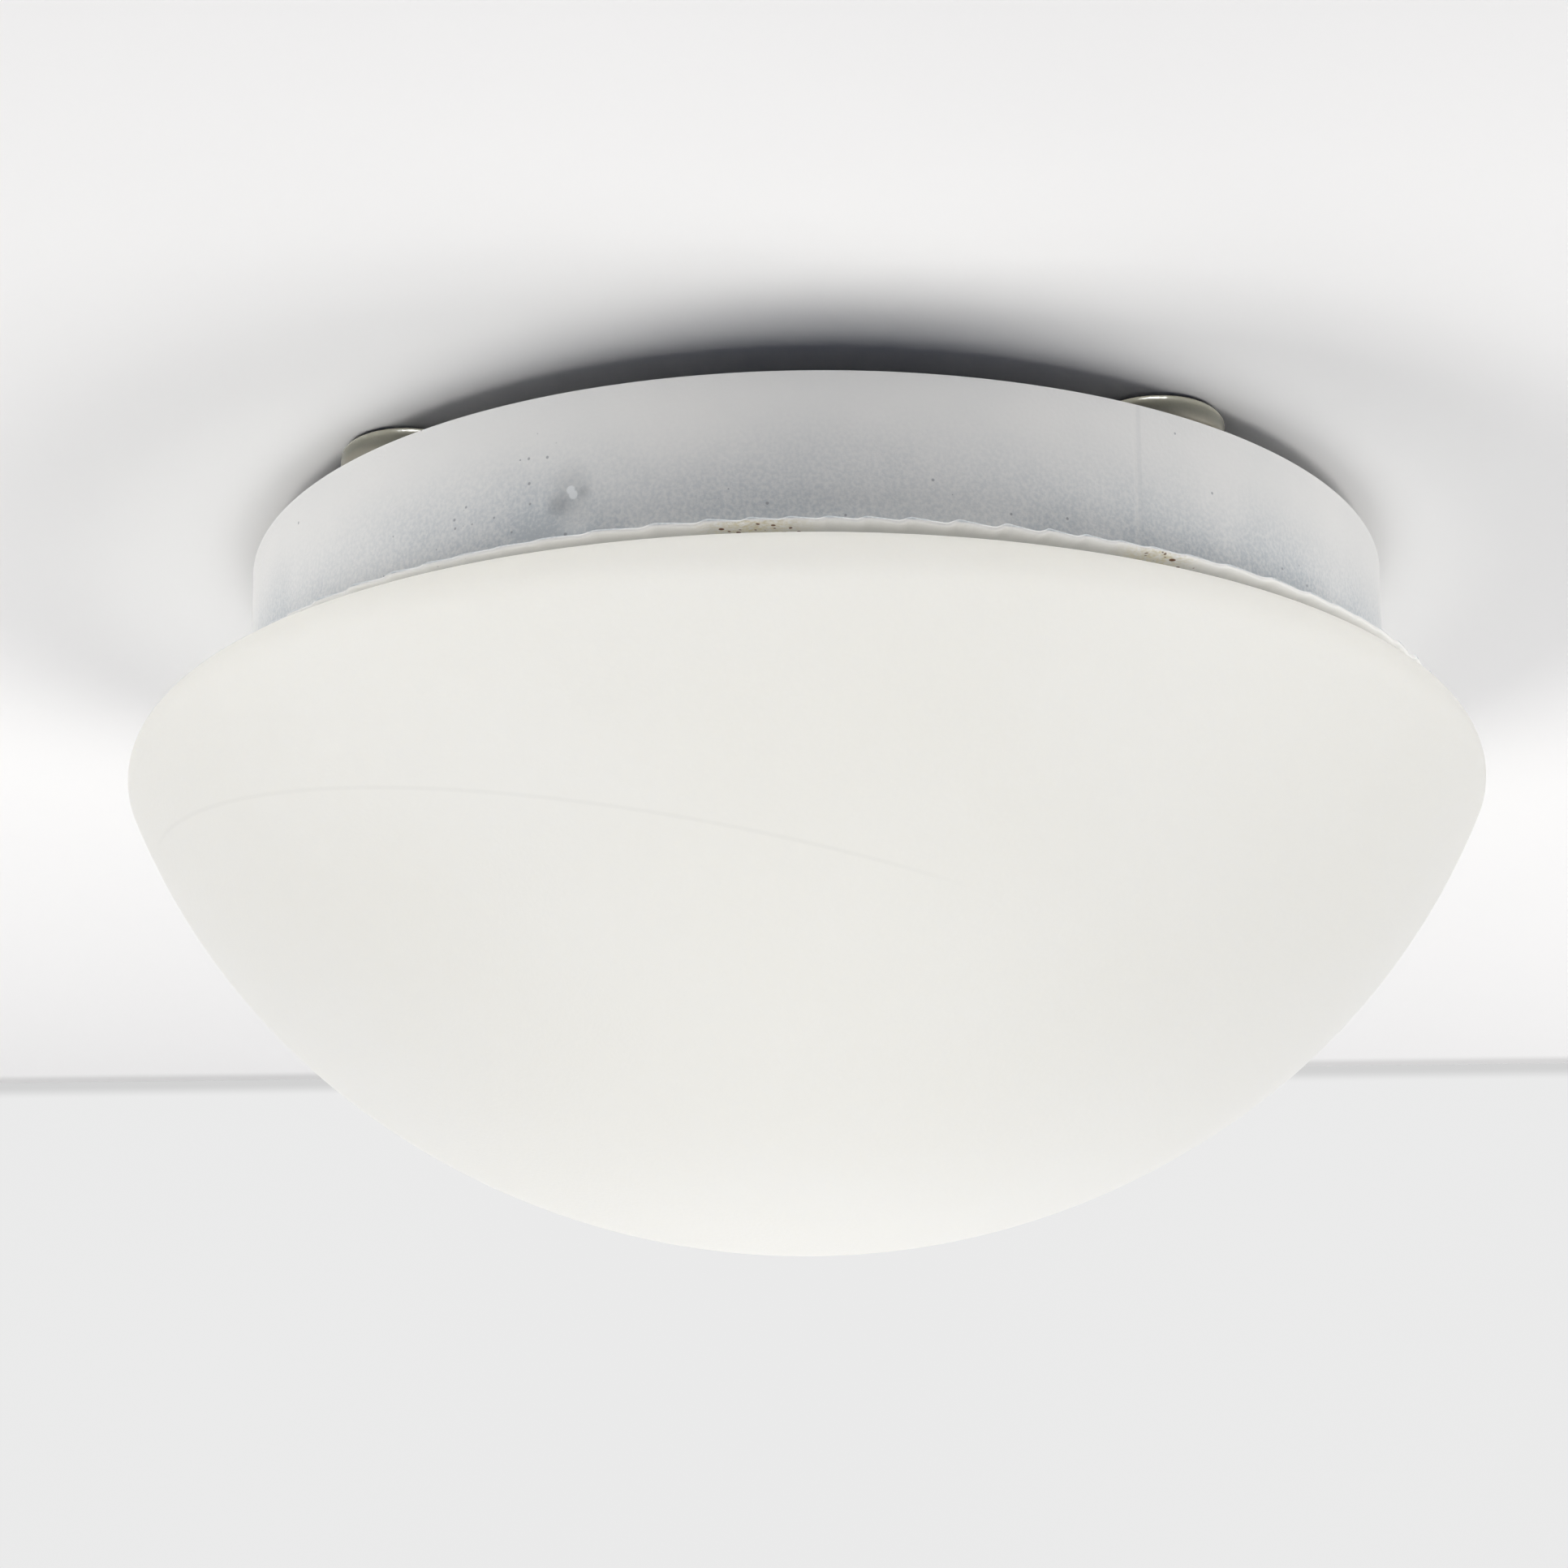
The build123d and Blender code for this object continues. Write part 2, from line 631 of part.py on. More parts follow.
# Terminal tubes: brass, one for each pole, tapped from below for two clamp screws
tube_start = Plane(origin=(block_x - tube_length / 2, block_y, tube_z), x_dir=(0, 1, 0), z_dir=(1, 0, 0))
with BuildPart() as terminal_tubes:
    with BuildSketch(tube_start):
        with GridLocations(pole_pitch, 0, pole_count, 1):
            Circle(tube_radius)
            Circle(tube_bore_radius, mode=Mode.SUBTRACT)
    extrude(amount=tube_length)
    with BuildSketch(Plane(origin=(block_x, block_y, tube_z), x_dir=(1, 0, 0), z_dir=(0, 0, -1))):
        with GridLocations(clamp_pitch, pole_pitch, 2, pole_count):
            Circle(clamp_radius + fit_gap)
    extrude(amount=tube_radius, mode=Mode.SUBTRACT)
terminal_tubes.part.label = "terminal_tubes"
export_step(terminal_tubes.part, "parts/terminal_tubes.step")

# Terminal clamp screws, two for each pole, their tips just under the wires
clamp_tip = tube_z - wire_radius - fit_gap
clamp_head_low = tube_z - tube_radius - fit_gap - clamp_head
clamp_face = Plane(origin=(block_x, block_y, clamp_head_low), x_dir=(1, 0, 0), z_dir=(0, 0, 1))
with BuildPart() as terminal_screws:
    with BuildSketch(clamp_face):
        with GridLocations(clamp_pitch, pole_pitch, 2, pole_count):
            Circle(clamp_head_radius)
    extrude(amount=clamp_head)
    with BuildSketch(clamp_face):
        with GridLocations(clamp_pitch, pole_pitch, 2, pole_count):
            Circle(clamp_radius)
    extrude(amount=clamp_tip - clamp_head_low)
    with BuildSketch(clamp_face):
        with GridLocations(clamp_pitch, pole_pitch, 2, pole_count):
            Rectangle(2 * clamp_head_radius, clamp_head_radius / 3)
    extrude(amount=clamp_head / 2, mode=Mode.SUBTRACT)
terminal_screws.part.label = "terminal_screws"
export_step(terminal_screws.part, "parts/terminal_screws.step")

# Terminal block's fixing screw, up through the body into the back plate
fixing_x = block_x + fixing_place[0]
fixing_y = block_y + fixing_place[1]
with BuildPart() as terminal_fixing:
    with BuildSketch(Plane.XY.offset(block_low - clamp_head)):
        with Locations((fixing_x, fixing_y)):
            Circle(2 * block_screw_radius)
    extrude(amount=clamp_head)
    fillet(terminal_fixing.edges().filter_by(GeomType.CIRCLE).group_by(Axis.Z)[0], radius=clamp_head / 3)
    with BuildSketch(Plane.XY.offset(block_low)):
        with Locations((fixing_x, fixing_y)):
            Circle(block_screw_radius)
    extrude(amount=plate_top - block_low)
    with BuildSketch(Plane.XY.offset(block_low - clamp_head)):
        with Locations((fixing_x, fixing_y)):
            Rectangle(4 * block_screw_radius, block_screw_radius / 2)
    extrude(amount=clamp_head / 2, mode=Mode.SUBTRACT)
terminal_fixing.part.label = "terminal_fixing"
export_step(terminal_fixing.part, "parts/terminal_fixing.step")

# Earth point, from the plate downwards: washer, ring lug and screw head, with the nut above
washer_low = plate_low - washer_thickness
lug_low = washer_low - lug_thickness
with BuildPart() as earth_washer:
    with BuildSketch(Plane.XY.offset(washer_low)):
        with Locations((earth_x, earth_y)):
            Circle(washer_radius)
            Circle(earth_screw_radius + fit_gap, mode=Mode.SUBTRACT)
    extrude(amount=washer_thickness)
earth_washer.part.label = "earth_washer"
export_step(earth_washer.part, "parts/earth_washer.step")

barrel_radius = wire_radius + fit_gap + lug_barrel_wall
barrel_z = washer_low - barrel_radius
barrel_x = earth_x + lug_radius + lug_neck
barrel_plane = Plane(origin=(barrel_x, earth_y, barrel_z), x_dir=(0, 1, 0), z_dir=(1, 0, 0))
neck_end = barrel_x + lug_barrel_length / 4
with BuildPart() as earth_lug:
    with BuildSketch(Plane.XY.offset(lug_low)):
        with Locations((earth_x, earth_y)):
            Circle(lug_radius)
        with Locations(((earth_x + neck_end) / 2, earth_y)):
            Rectangle(neck_end - earth_x, 2 * barrel_radius)
        with Locations((earth_x, earth_y)):
            Circle(earth_screw_radius + fit_gap, mode=Mode.SUBTRACT)
    extrude(amount=lug_thickness)
    with BuildSketch(barrel_plane):
        Circle(barrel_radius)
    extrude(amount=lug_barrel_length)
    with BuildSketch(barrel_plane):
        Circle(wire_radius + fit_gap)
    extrude(amount=lug_barrel_length, mode=Mode.SUBTRACT)
earth_lug.part.label = "earth_lug"
export_step(earth_lug.part, "parts/earth_lug.step")

with BuildPart() as earth_screw:
    with BuildSketch(Plane.XY.offset(lug_low - earth_head)):
        with Locations((earth_x, earth_y)):
            Circle(earth_head_radius)
    extrude(amount=earth_head)
    fillet(earth_screw.edges().filter_by(GeomType.CIRCLE).group_by(Axis.Z)[0], radius=earth_head / 3)
    with BuildSketch(Plane.XY.offset(lug_low)):
        with Locations((earth_x, earth_y)):
            Circle(earth_screw_radius)
    extrude(amount=plate_top + nut_height - lug_low)
    with BuildSketch(Plane.XY.offset(lug_low - earth_head)):
        with Locations((earth_x, earth_y)):
            Rectangle(1.2 * earth_head_radius, earth_head_radius / 4)
            Rectangle(earth_head_radius / 4, 1.2 * earth_head_radius)
    extrude(amount=earth_head / 2, mode=Mode.SUBTRACT)
earth_screw.part.label = "earth_screw"
export_step(earth_screw.part, "parts/earth_screw.step")

with BuildPart() as earth_nut:
    with BuildSketch(Plane.XY.offset(plate_top)):
        with Locations((earth_x, earth_y)):
            RegularPolygon(nut_across_flats / 2, 6, major_radius=False)
            Circle(earth_screw_radius + fit_gap, mode=Mode.SUBTRACT)
    extrude(amount=nut_height)
earth_nut.part.label = "earth_nut"
export_step(earth_nut.part, "parts/earth_nut.step")

# Cable grommet: two flanges that grip the back plate, with a nozzle inside the drum
with BuildPart() as cable_grommet:
    with BuildSketch(Plane(origin=(grommet_x, grommet_y, 0), x_dir=(1, 0, 0), z_dir=(0, -1, 0))):
        with BuildLine():
            Polyline(
                (cable_radius, plate_top + grommet_flange),
                (grommet_radius, plate_top + grommet_flange),
                (grommet_radius, plate_top),
                (grommet_neck_radius, plate_top),
                (grommet_neck_radius, plate_low),
                (grommet_radius, plate_low),
                (grommet_radius, plate_low - grommet_flange),
                (cable_radius + grommet_flange, plate_low - grommet_flange - grommet_nozzle),
                (cable_radius, plate_low - grommet_flange - grommet_nozzle),
                close=True,
            )
        make_face()
    revolve(axis=Axis((grommet_x, grommet_y, 0), (0, 0, 1)))
    fillet(cable_grommet.edges().filter_by(GeomType.CIRCLE).group_by(Axis.Z)[-1], radius=grommet_flange / 3)
cable_grommet.part.label = "cable_grommet"
export_step(cable_grommet.part, "parts/cable_grommet.step")

# Wires: each route is straight runs joined by arcs
wire_entry_x = block_x - tube_length / 2 + wire_in_tube
wire_end_x = holder_back_x + holder_wire_depth
wire_side = holder_wire_spacing / 2
routes = {
    "wire_live": [
        (wire_entry_x, pole_places[0], tube_z),
        (-44.0, pole_places[0], tube_z),
        (-70.0, 20.0, -25.0),
        (-70.0, wire_side, axis_z),
        (wire_end_x, wire_side, axis_z),
    ],
    "wire_neutral": [
        (wire_entry_x, pole_places[1], tube_z),
        (-50.0, pole_places[1], tube_z),
        (-80.0, 18.0, -25.0),
        (-80.0, -wire_side, axis_z),
        (wire_end_x, -wire_side, axis_z),
    ],
    "wire_earth": [
        (wire_entry_x, pole_places[2], tube_z),
        (block_x - block_length / 2 - lug_barrel_length, pole_places[2], tube_z),
        (barrel_x + 2 * lug_barrel_length, earth_y, barrel_z),
        (barrel_x + fit_gap, earth_y, barrel_z),
    ],
}
bend_share = 0.45
largest_bend = 18.0
for name, points in routes.items():
    places = [Vector(point) for point in points]
    radii = []
    for before, corner, after in zip(places, places[1:], places[2:]):
        turn = (corner - before).get_angle(after - corner)
        shorter = min((corner - before).length, (after - corner).length)
        radii.append(min(bend_share * shorter / tan(radians(turn / 2)), largest_bend))
    with BuildPart() as wire:
        with BuildLine() as route:
            FilletPolyline(*places, radius=radii)
        with BuildSketch(Plane(origin=route.line @ 0, z_dir=route.line % 0)):
            Circle(wire_radius)
        sweep(path=route.line)
    print(name, "bend radii", [round(radius, 1) for radius in radii])
    print(name, "length", round(route.wire().length, 1), "volume", round(wire.part.volume, 1))
    wire.part.label = name
    export_step(wire.part, f"parts/{name}.step")
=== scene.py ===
"""Looks of a flush ceiling light: a white drum on soft pads, with a satin opal glass shade.

Every piece is in metres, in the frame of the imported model: the origin is the centre of the ceiling
plane, +Z points up into the ceiling and -Y faces the viewer of the photograph.
"""

import json
import logging
from dataclasses import dataclass, field
from enum import Enum
from functools import cached_property, partial, reduce
from math import cos, pi, radians, sin, tan

import bpy
import numpy as np
from mathutils import Matrix, Vector


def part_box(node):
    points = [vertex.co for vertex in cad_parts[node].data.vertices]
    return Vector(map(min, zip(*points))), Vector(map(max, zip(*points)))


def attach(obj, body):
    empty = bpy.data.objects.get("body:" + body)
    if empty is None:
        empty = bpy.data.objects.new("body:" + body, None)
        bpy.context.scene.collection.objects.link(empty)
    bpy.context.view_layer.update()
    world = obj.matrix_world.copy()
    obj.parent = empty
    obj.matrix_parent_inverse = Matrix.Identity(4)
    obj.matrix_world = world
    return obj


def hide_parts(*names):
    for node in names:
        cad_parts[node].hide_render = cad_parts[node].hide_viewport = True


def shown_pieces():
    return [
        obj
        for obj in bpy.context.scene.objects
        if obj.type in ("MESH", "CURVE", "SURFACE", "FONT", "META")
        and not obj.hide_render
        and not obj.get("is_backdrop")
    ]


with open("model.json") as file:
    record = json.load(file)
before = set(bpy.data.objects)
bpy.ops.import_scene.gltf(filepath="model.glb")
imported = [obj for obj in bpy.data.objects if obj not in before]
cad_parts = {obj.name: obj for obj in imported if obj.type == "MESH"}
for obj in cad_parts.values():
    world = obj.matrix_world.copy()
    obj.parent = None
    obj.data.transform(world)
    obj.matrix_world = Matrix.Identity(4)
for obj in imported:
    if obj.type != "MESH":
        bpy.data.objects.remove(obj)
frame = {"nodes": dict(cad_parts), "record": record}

LOG = logging.getLogger("ceiling_light")
MM = 0.001
BAND_RADIUS = 105.5  # of the drum's outside, in millimetres
FLANGE_RADIUS = 114.5  # of the flange's middle, in millimetres
FLANGE_HEIGHT = -36.9  # of the flange's underside, in millimetres
SLOTS = {part["node"]: part["material_slot"] for part in frame["record"]["subparts"]}

Pair = tuple[float, float]
Colour = tuple[float, float, float]
Point = tuple[float, float, float]
Piece = bpy.types.Object
Material = bpy.types.Material
NodeTree = bpy.types.NodeTree
Socket = bpy.types.NodeSocket
Targets = dict["Reach", list[Piece]]

RIGHT: Point = (1.0, 0.0, 0.0)
BACK: Point = (0.0, 1.0, 0.0)
UP: Point = (0.0, 0.0, 1.0)


class Body(Enum):
    """The rigid bodies that new pieces ride on."""

    PAN = "pan"
    SHADE = "shade"


class Reach(Enum):
    """What a lamp lights."""

    PANEL = "the panel"
    LIGHT = "the ceiling light"
    PAN = "what stays on the ceiling"
    INSIDE = "what the drum and the shade enclose"
    DRUM = "the drum"
    PADS = "the pads"
    SHADE = "the shade"
    CROWN = "what shows from above"


def facing(degrees_from_viewer: float) -> Vector:
    """Level unit vector at an angle from -Y, in degrees, positive towards +X."""
    turn = radians(degrees_from_viewer)
    return Vector((sin(turn), -cos(turn), 0.0))


def on_ring(degrees_from_viewer: float, radius: float, height: float) -> Point:
    """Point in metres on a ring about the upright axis, from a radius and a height in millimetres."""
    out = facing(degrees_from_viewer) * radius
    return (out.x * MM, out.y * MM, height * MM)


def darker(colour: Colour, share: float) -> Colour:
    """A colour with every channel at a share of what it was."""
    return tuple(share * channel for channel in colour)


# Curves and surfaces


def arc(centre: Pair, radius: float, start: float, end: float, steps: int) -> np.ndarray:
    """Rows of distance and height: centre + radius * (cos a, sin a) for a from start to end in degrees."""
    turn = np.radians(np.linspace(start, end, steps))
    return np.stack([centre[0] + radius * np.cos(turn), centre[1] + radius * np.sin(turn)], axis=1)


def straight(start: Pair, end: Pair, steps: int) -> np.ndarray:
    """Rows of distance and height, evenly spaced between two ends and without the ends themselves."""
    share = np.linspace(0.0, 1.0, steps + 2)[1:-1, None]
    return np.asarray(start) * (1 - share) + np.asarray(end) * share


def bow(chord: float, rise: float, middle: Pair, towards: float, steps: int) -> np.ndarray:
    """Shallow arc over a chord: radius = (chord**2 / 4 + rise**2) / (2 * rise).

    Args:
        chord: length of the chord.
        rise: height of the arc over the chord.
        middle: middle of the chord.
        towards: direction of the rise, in degrees.
        steps: number of points.

    Returns:
        Rows of distance and height.
    """
    radius = (chord**2 / 4 + rise**2) / (2 * rise)
    half = float(np.degrees(np.arcsin(chord / 2 / radius)))
    back = radius - rise
    centre = (middle[0] - back * cos(radians(towards)), middle[1] - back * sin(radians(towards)))
    return arc(centre, radius, towards - half, towards + half, steps)


def turned(profile: np.ndarray, columns: int, centre: Vector) -> np.ndarray:
    """Profile carried round an upright axis: (x, y) = centre + distance * (cos a, sin a), z = height.

    Args:
        profile: rows of distance and height.
        columns: number of points round the ring.
        centre: a point on the axis.

    Returns:
        An array of rings by columns by three coordinates.
    """
    turn = np.linspace(0.0, 2 * pi, columns, endpoint=False)[None, :]
    distance = profile[:, 0:1]
    height = np.broadcast_to(profile[:, 1:2], (len(profile), columns))
    return np.stack([centre.x + distance * np.cos(turn), centre.y + distance * np.sin(turn), height], axis=-1)


def new_piece(name: str, vertices: list, faces: list) -> Piece:
    """Makes a mesh object.

    Args:
        name: its name.
        vertices: its points, in metres.
        faces: the vertex numbers of each face.

    Returns:
        The new object, linked to the scene.
    """
    mesh = bpy.data.meshes.new(name)
    mesh.from_pydata(vertices, [], faces)
    piece = bpy.data.objects.new(name, mesh)
    bpy.context.scene.collection.objects.link(piece)
    return piece


def ring_mesh(name: str, points: np.ndarray, closed: bool) -> Piece:
    """Smooth mesh on a grid of rings.

    Args:
        name: name of the new object.
        points: array of rings by columns by three coordinates, in metres.
        closed: whether the last ring joins the first, or else each is closed by a fan to its middle.

    Returns:
        The new object.
    """
    rows, columns, _ = points.shape
    vertices = points.reshape(-1, 3)
    here = np.arange(rows * columns).reshape(rows, columns)
    beside = np.roll(here, -1, axis=1)
    quads = np.stack([here, beside, np.roll(beside, -1, axis=0), np.roll(here, -1, axis=0)], axis=-1)
    faces = quads[: rows if closed else rows - 1].reshape(-1, 4).tolist()
    if not closed:
        tips = np.stack([points[0].mean(axis=0), points[-1].mean(axis=0)])
        first_tip, last_tip = np.full(columns, len(vertices)), np.full(columns, len(vertices) + 1)
        faces += np.stack([beside[0], here[0], first_tip], axis=1).tolist()
        faces += np.stack([here[-1], beside[-1], last_tip], axis=1).tolist()
        vertices = np.vstack([vertices, tips])
    piece = new_piece(name, vertices.tolist(), faces)
    piece.data.polygons.foreach_set("use_smooth", np.ones(len(faces), dtype=bool))
    piece.data.update()
    return piece


def dress(piece: Piece, material: Material) -> None:
    """Gives a piece one material in place of what it has."""
    piece.data.materials.clear()
    piece.data.materials.append(material)


def stand_in(piece: Piece, body: Body, node: str, material: Material) -> Piece:
    """Lets a new piece stand for a packed one.

    Args:
        piece: the new piece.
        body: the body that it rides on.
        node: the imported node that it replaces.
        material: its material.

    Returns:
        The piece.
    """
    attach(piece, body.value)
    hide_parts(node)
    dress(piece, material)
    LOG.info("%s stands for %s: %d faces", piece.name, node, len(piece.data.polygons))
    return piece


# Node trees


@dataclass(frozen=True)
class Spot:
    """A round patch on a piece."""

    middle: Point
    reach: float  # where it ends
    core: float = 0.0  # where it is full
    strength: float = 1.0


class Sketch:
    """A node tree being drawn: adds nodes, fills their sockets and joins them."""

    def __init__(self, tree: NodeTree) -> None:
        """Keeps the tree and clears it."""
        self.tree = tree
        tree.nodes.clear()

    def fill(self, socket: Socket, value: object) -> None:
        """Joins a socket to another one, or sets its value; a colour gets its alpha.

        Args:
            socket: the input to fill.
            value: its new value, or the socket that feeds it.
        """
        if isinstance(value, Socket):
            self.tree.links.new(value, socket)
        elif socket.type == "RGBA":
            socket.default_value = (*value, 1.0)
        else:
            socket.default_value = value

    def add(self, kind: str, inputs: dict | None = None, **settings: object) -> bpy.types.Node:
        """Adds a node.

        Args:
            kind: Blender's name of the node type.
            inputs: socket name or number to a value, or to the socket that feeds it.
            settings: attributes of the node itself.

        Returns:
            The new node.
        """
        node = self.tree.nodes.new(kind)
        for key, value in settings.items():
            setattr(node, key, value)
        for key, value in (inputs or {}).items():
            self.fill(node.inputs[key], value)
        return node

    def math(self, operation: str, first: object, second: object = 0.0) -> Socket:
        """Result of one arithmetic step on two values or sockets."""
        return self.add("ShaderNodeMath", {0: first, 1: second}, operation=operation).outputs[0]

    def times(self, first: object, second: object) -> Socket:
        """Product of two values or sockets."""
        return self.math("MULTIPLY", first, second)

    def ramp(self, value: Socket, low: float, high: float) -> Socket:
        """Smooth step of a value from 0 at low to 1 at high."""
        span = {"Value": value, "From Min": low, "From Max": high}
        return self.add("ShaderNodeMapRange", span, interpolation_type="SMOOTHSTEP").outputs["Result"]

    def scaled(self, value: Socket, low: float, high: float) -> Socket:
        """Value from 0 to 1 stretched to a range from low to high."""
        span = {"Value": value, "To Min": low, "To Max": high}
        return self.add("ShaderNodeMapRange", span).outputs["Result"]

    def blend(self, share: object, first: object, second: object) -> Socket:
        """Mixes two colours by a share of the second."""
        inputs = {0: share, 6: first, 7: second}
        return self.add("ShaderNodeMix", inputs, data_type="RGBA").outputs[2]

    @cached_property
    def place(self) -> Socket:
        """Object coordinates, in metres."""
        return self.add("ShaderNodeTexCoord").outputs["Object"]

    def vector(self, operation: str, other: Point) -> Socket:
        """Value that one step of vector arithmetic on the place gives."""
        inputs = {0: self.place, 1: other}
        return self.add("ShaderNodeVectorMath", inputs, operation=operation).outputs["Value"]

    def along(self, direction: Point) -> Socket:
        """Distance of the place along a direction from the origin."""
        return self.vector("DOT_PRODUCT", direction)

    def near(self, spot: Spot) -> Socket:
        """Mask of a round patch: its strength within the core, falling smoothly to 0 at the reach."""
        away = self.vector("DISTANCE", spot.middle)
        return self.times(self.ramp(away, spot.reach, spot.core), spot.strength)

    def strongest(self, masks: list[Socket]) -> Socket:
        """The greatest of several masks."""
        return reduce(partial(self.math, "MAXIMUM"), masks)


def new_group(name: str, inputs: dict[str, float], outputs: list[str]) -> tuple[Sketch, dict, dict]:
    """Shader node group with a place and named values as its inputs.

    Args:
        name: the group's name.
        inputs: name of each value to its default.
        outputs: names of the value outputs.

    Returns:
        The group's nodes, the sockets that give its inputs, and those that take its outputs.
    """
    group = bpy.data.node_groups.new(name, "ShaderNodeTree")
    group.interface.new_socket("Vector", in_out="INPUT", socket_type="NodeSocketVector")
    for label, value in inputs.items():
        socket = group.interface.new_socket(label, in_out="INPUT", socket_type="NodeSocketFloat")
        socket.default_value = value
    for label in outputs:
        group.interface.new_socket(label, in_out="OUTPUT", socket_type="NodeSocketFloat")
    sketch = Sketch(group)
    return sketch, sketch.add("NodeGroupInput").outputs, sketch.add("NodeGroupOutput").inputs


def grain_group() -> NodeTree:
    """Two layers of noise: Broad for slow drifts of tone, Fine for grain, both about 0 to 1.

    Returns:
        The node group.
    """
    labels = ["Broad", "Fine"]
    darkest, lightest = 0.25, 0.75
    sketch, given, result = new_group("grain", {"Broad Scale": 40.0, "Fine Scale": 800.0}, labels)
    for label in labels:
        settings = {"Vector": given["Vector"], "Scale": given[f"{label} Scale"], "Detail": 2.0}
        noise = sketch.add("ShaderNodeTexNoise", settings)
        sketch.fill(result[label], sketch.ramp(noise.outputs["Fac"], darkest, lightest))
    return sketch.tree


def speck_group() -> NodeTree:
    """Sparse round specks: 1 inside a cell's dot, where the cell's own random number is under Share.

    A dot's radius is Size times the cell's second random number, in cells.

    Returns:
        The node group.
    """
    smallest, largest = 0.4, 1.0
    soft_edge = 0.1
    sketch, given, result = new_group("specks", {"Scale": 450.0, "Share": 0.1, "Size": 0.3}, ["Mask"])
    cells = sketch.add("ShaderNodeTexVoronoi", {"Vector": given["Vector"], "Scale": given["Scale"]}).outputs
    numbers = sketch.add("ShaderNodeSeparateColor", {"Color": cells["Color"]}).outputs
    chosen = sketch.math("LESS_THAN", numbers["Red"], given["Share"])
    radius = sketch.times(given["Size"], sketch.scaled(numbers["Green"], smallest, largest))
    dot = sketch.ramp(sketch.math("SUBTRACT", radius, cells["Distance"]), 0.0, soft_edge)
    sketch.fill(result["Mask"], sketch.times(chosen, dot))
    return sketch.tree


# Finishes


class Ground(Sketch):
    """The nodes of a finish, with slow noise in broad and grain in fine."""

    def __init__(self, tree: NodeTree, groups: list[NodeTree], scales: Pair) -> None:
        """Adds the noise.

        Args:
            tree: the material's tree.
            groups: the node groups of the noise and of the specks.
            scales: scale of the slow noise and of the grain, per metre.
        """
        super().__init__(tree)
        grain, self.specks = groups
        inputs = {"Vector": self.place, "Broad Scale": scales[0], "Fine Scale": scales[1]}
        noise = self.add("ShaderNodeGroup", inputs, node_tree=grain).outputs
        self.broad, self.fine = noise["Broad"], noise["Fine"]

    def dots(self, **inputs: object) -> Socket:
        """Mask of sparse specks, by the inputs of their group."""
        filled = {"Vector": self.place} | inputs
        return self.add("ShaderNodeGroup", filled, node_tree=self.specks).outputs["Mask"]


@dataclass(frozen=True)
class Finish:
    """A plain finish: a colour that drifts, a roughness that varies, and a fine bump."""

    name: str  # the record's slot that it is for
    colour: Colour  # linear base colour
    drift: Colour  # mixed in by slow noise
    roughness: Pair  # lowest and highest
    metallic: float = 0.0
    coat: float = 0.0  # weight of a clear glaze
    transmission: float = 0.0
    broad: float = 60.0  # slow noise, per metre
    fine: float = 1200.0  # grain, per metre
    relief: float = 0.02 * MM  # depth of the bump
    dirt: float = 0.03  # share of cells with a dark speck
    dirt_tone: float = 0.4  # share of the colour in a speck
    dirt_strength: float = 0.6

    def material(self, groups: list[NodeTree]) -> Material:
        """Builds the material.

        Args:
            groups: the node groups of the noise and of the specks.

        Returns:
            The new material.
        """
        made = bpy.data.materials.new(f"{self.name}_look")
        made.use_nodes = True
        ground = Ground(made.node_tree, groups, (self.broad, self.fine))
        bump = ground.add("ShaderNodeBump", {"Height": self.height(ground), "Distance": self.relief})
        inputs = {
            "Base Color": self.tone(ground, ground.blend(ground.broad, self.colour, self.drift)),
            "Roughness": ground.scaled(ground.fine, *self.roughness),
            "Normal": bump.outputs["Normal"],
        }
        shader = ground.add("ShaderNodeBsdfPrincipled", inputs)
        for label, value in self.constants().items():
            shader.inputs[label].default_value = value
        ground.add("ShaderNodeOutputMaterial", {"Surface": shader.outputs["BSDF"]})
        return made

    def constants(self) -> dict[str, object]:
        """Shader inputs with fixed values."""
        return {"Metallic": self.metallic, "Coat Weight": self.coat, "Transmission Weight": self.transmission}

    def tone(self, ground: Ground, tone: Socket) -> Socket:
        """The drifting colour with a few dark specks."""
        specks = ground.times(ground.dots(Share=self.dirt), self.dirt_strength)
        return ground.blend(specks, tone, darker(self.colour, self.dirt_tone))

    def height(self, ground: Ground) -> Socket:
        """Height pattern of the bump."""
        return ground.fine


@dataclass(frozen=True)
class Translucent(Finish):
    """A finish whose body scatters light, such as opal glass or silicone."""

    scatter: float = 0.4
    depth: float = 5.0 * MM  # how far light spreads inside
    spread: Colour = (1.0, 0.95, 0.85)  # of red, green and blue
    ior: float = 1.47  # index of refraction

    def constants(self) -> dict[str, object]:
        """The plain finish's inputs and those of the scattering."""
        inner = {"Subsurface Weight": self.scatter, "Subsurface Scale": self.depth}
        return super().constants() | inner | {"Subsurface Radius": self.spread, "IOR": self.ior}


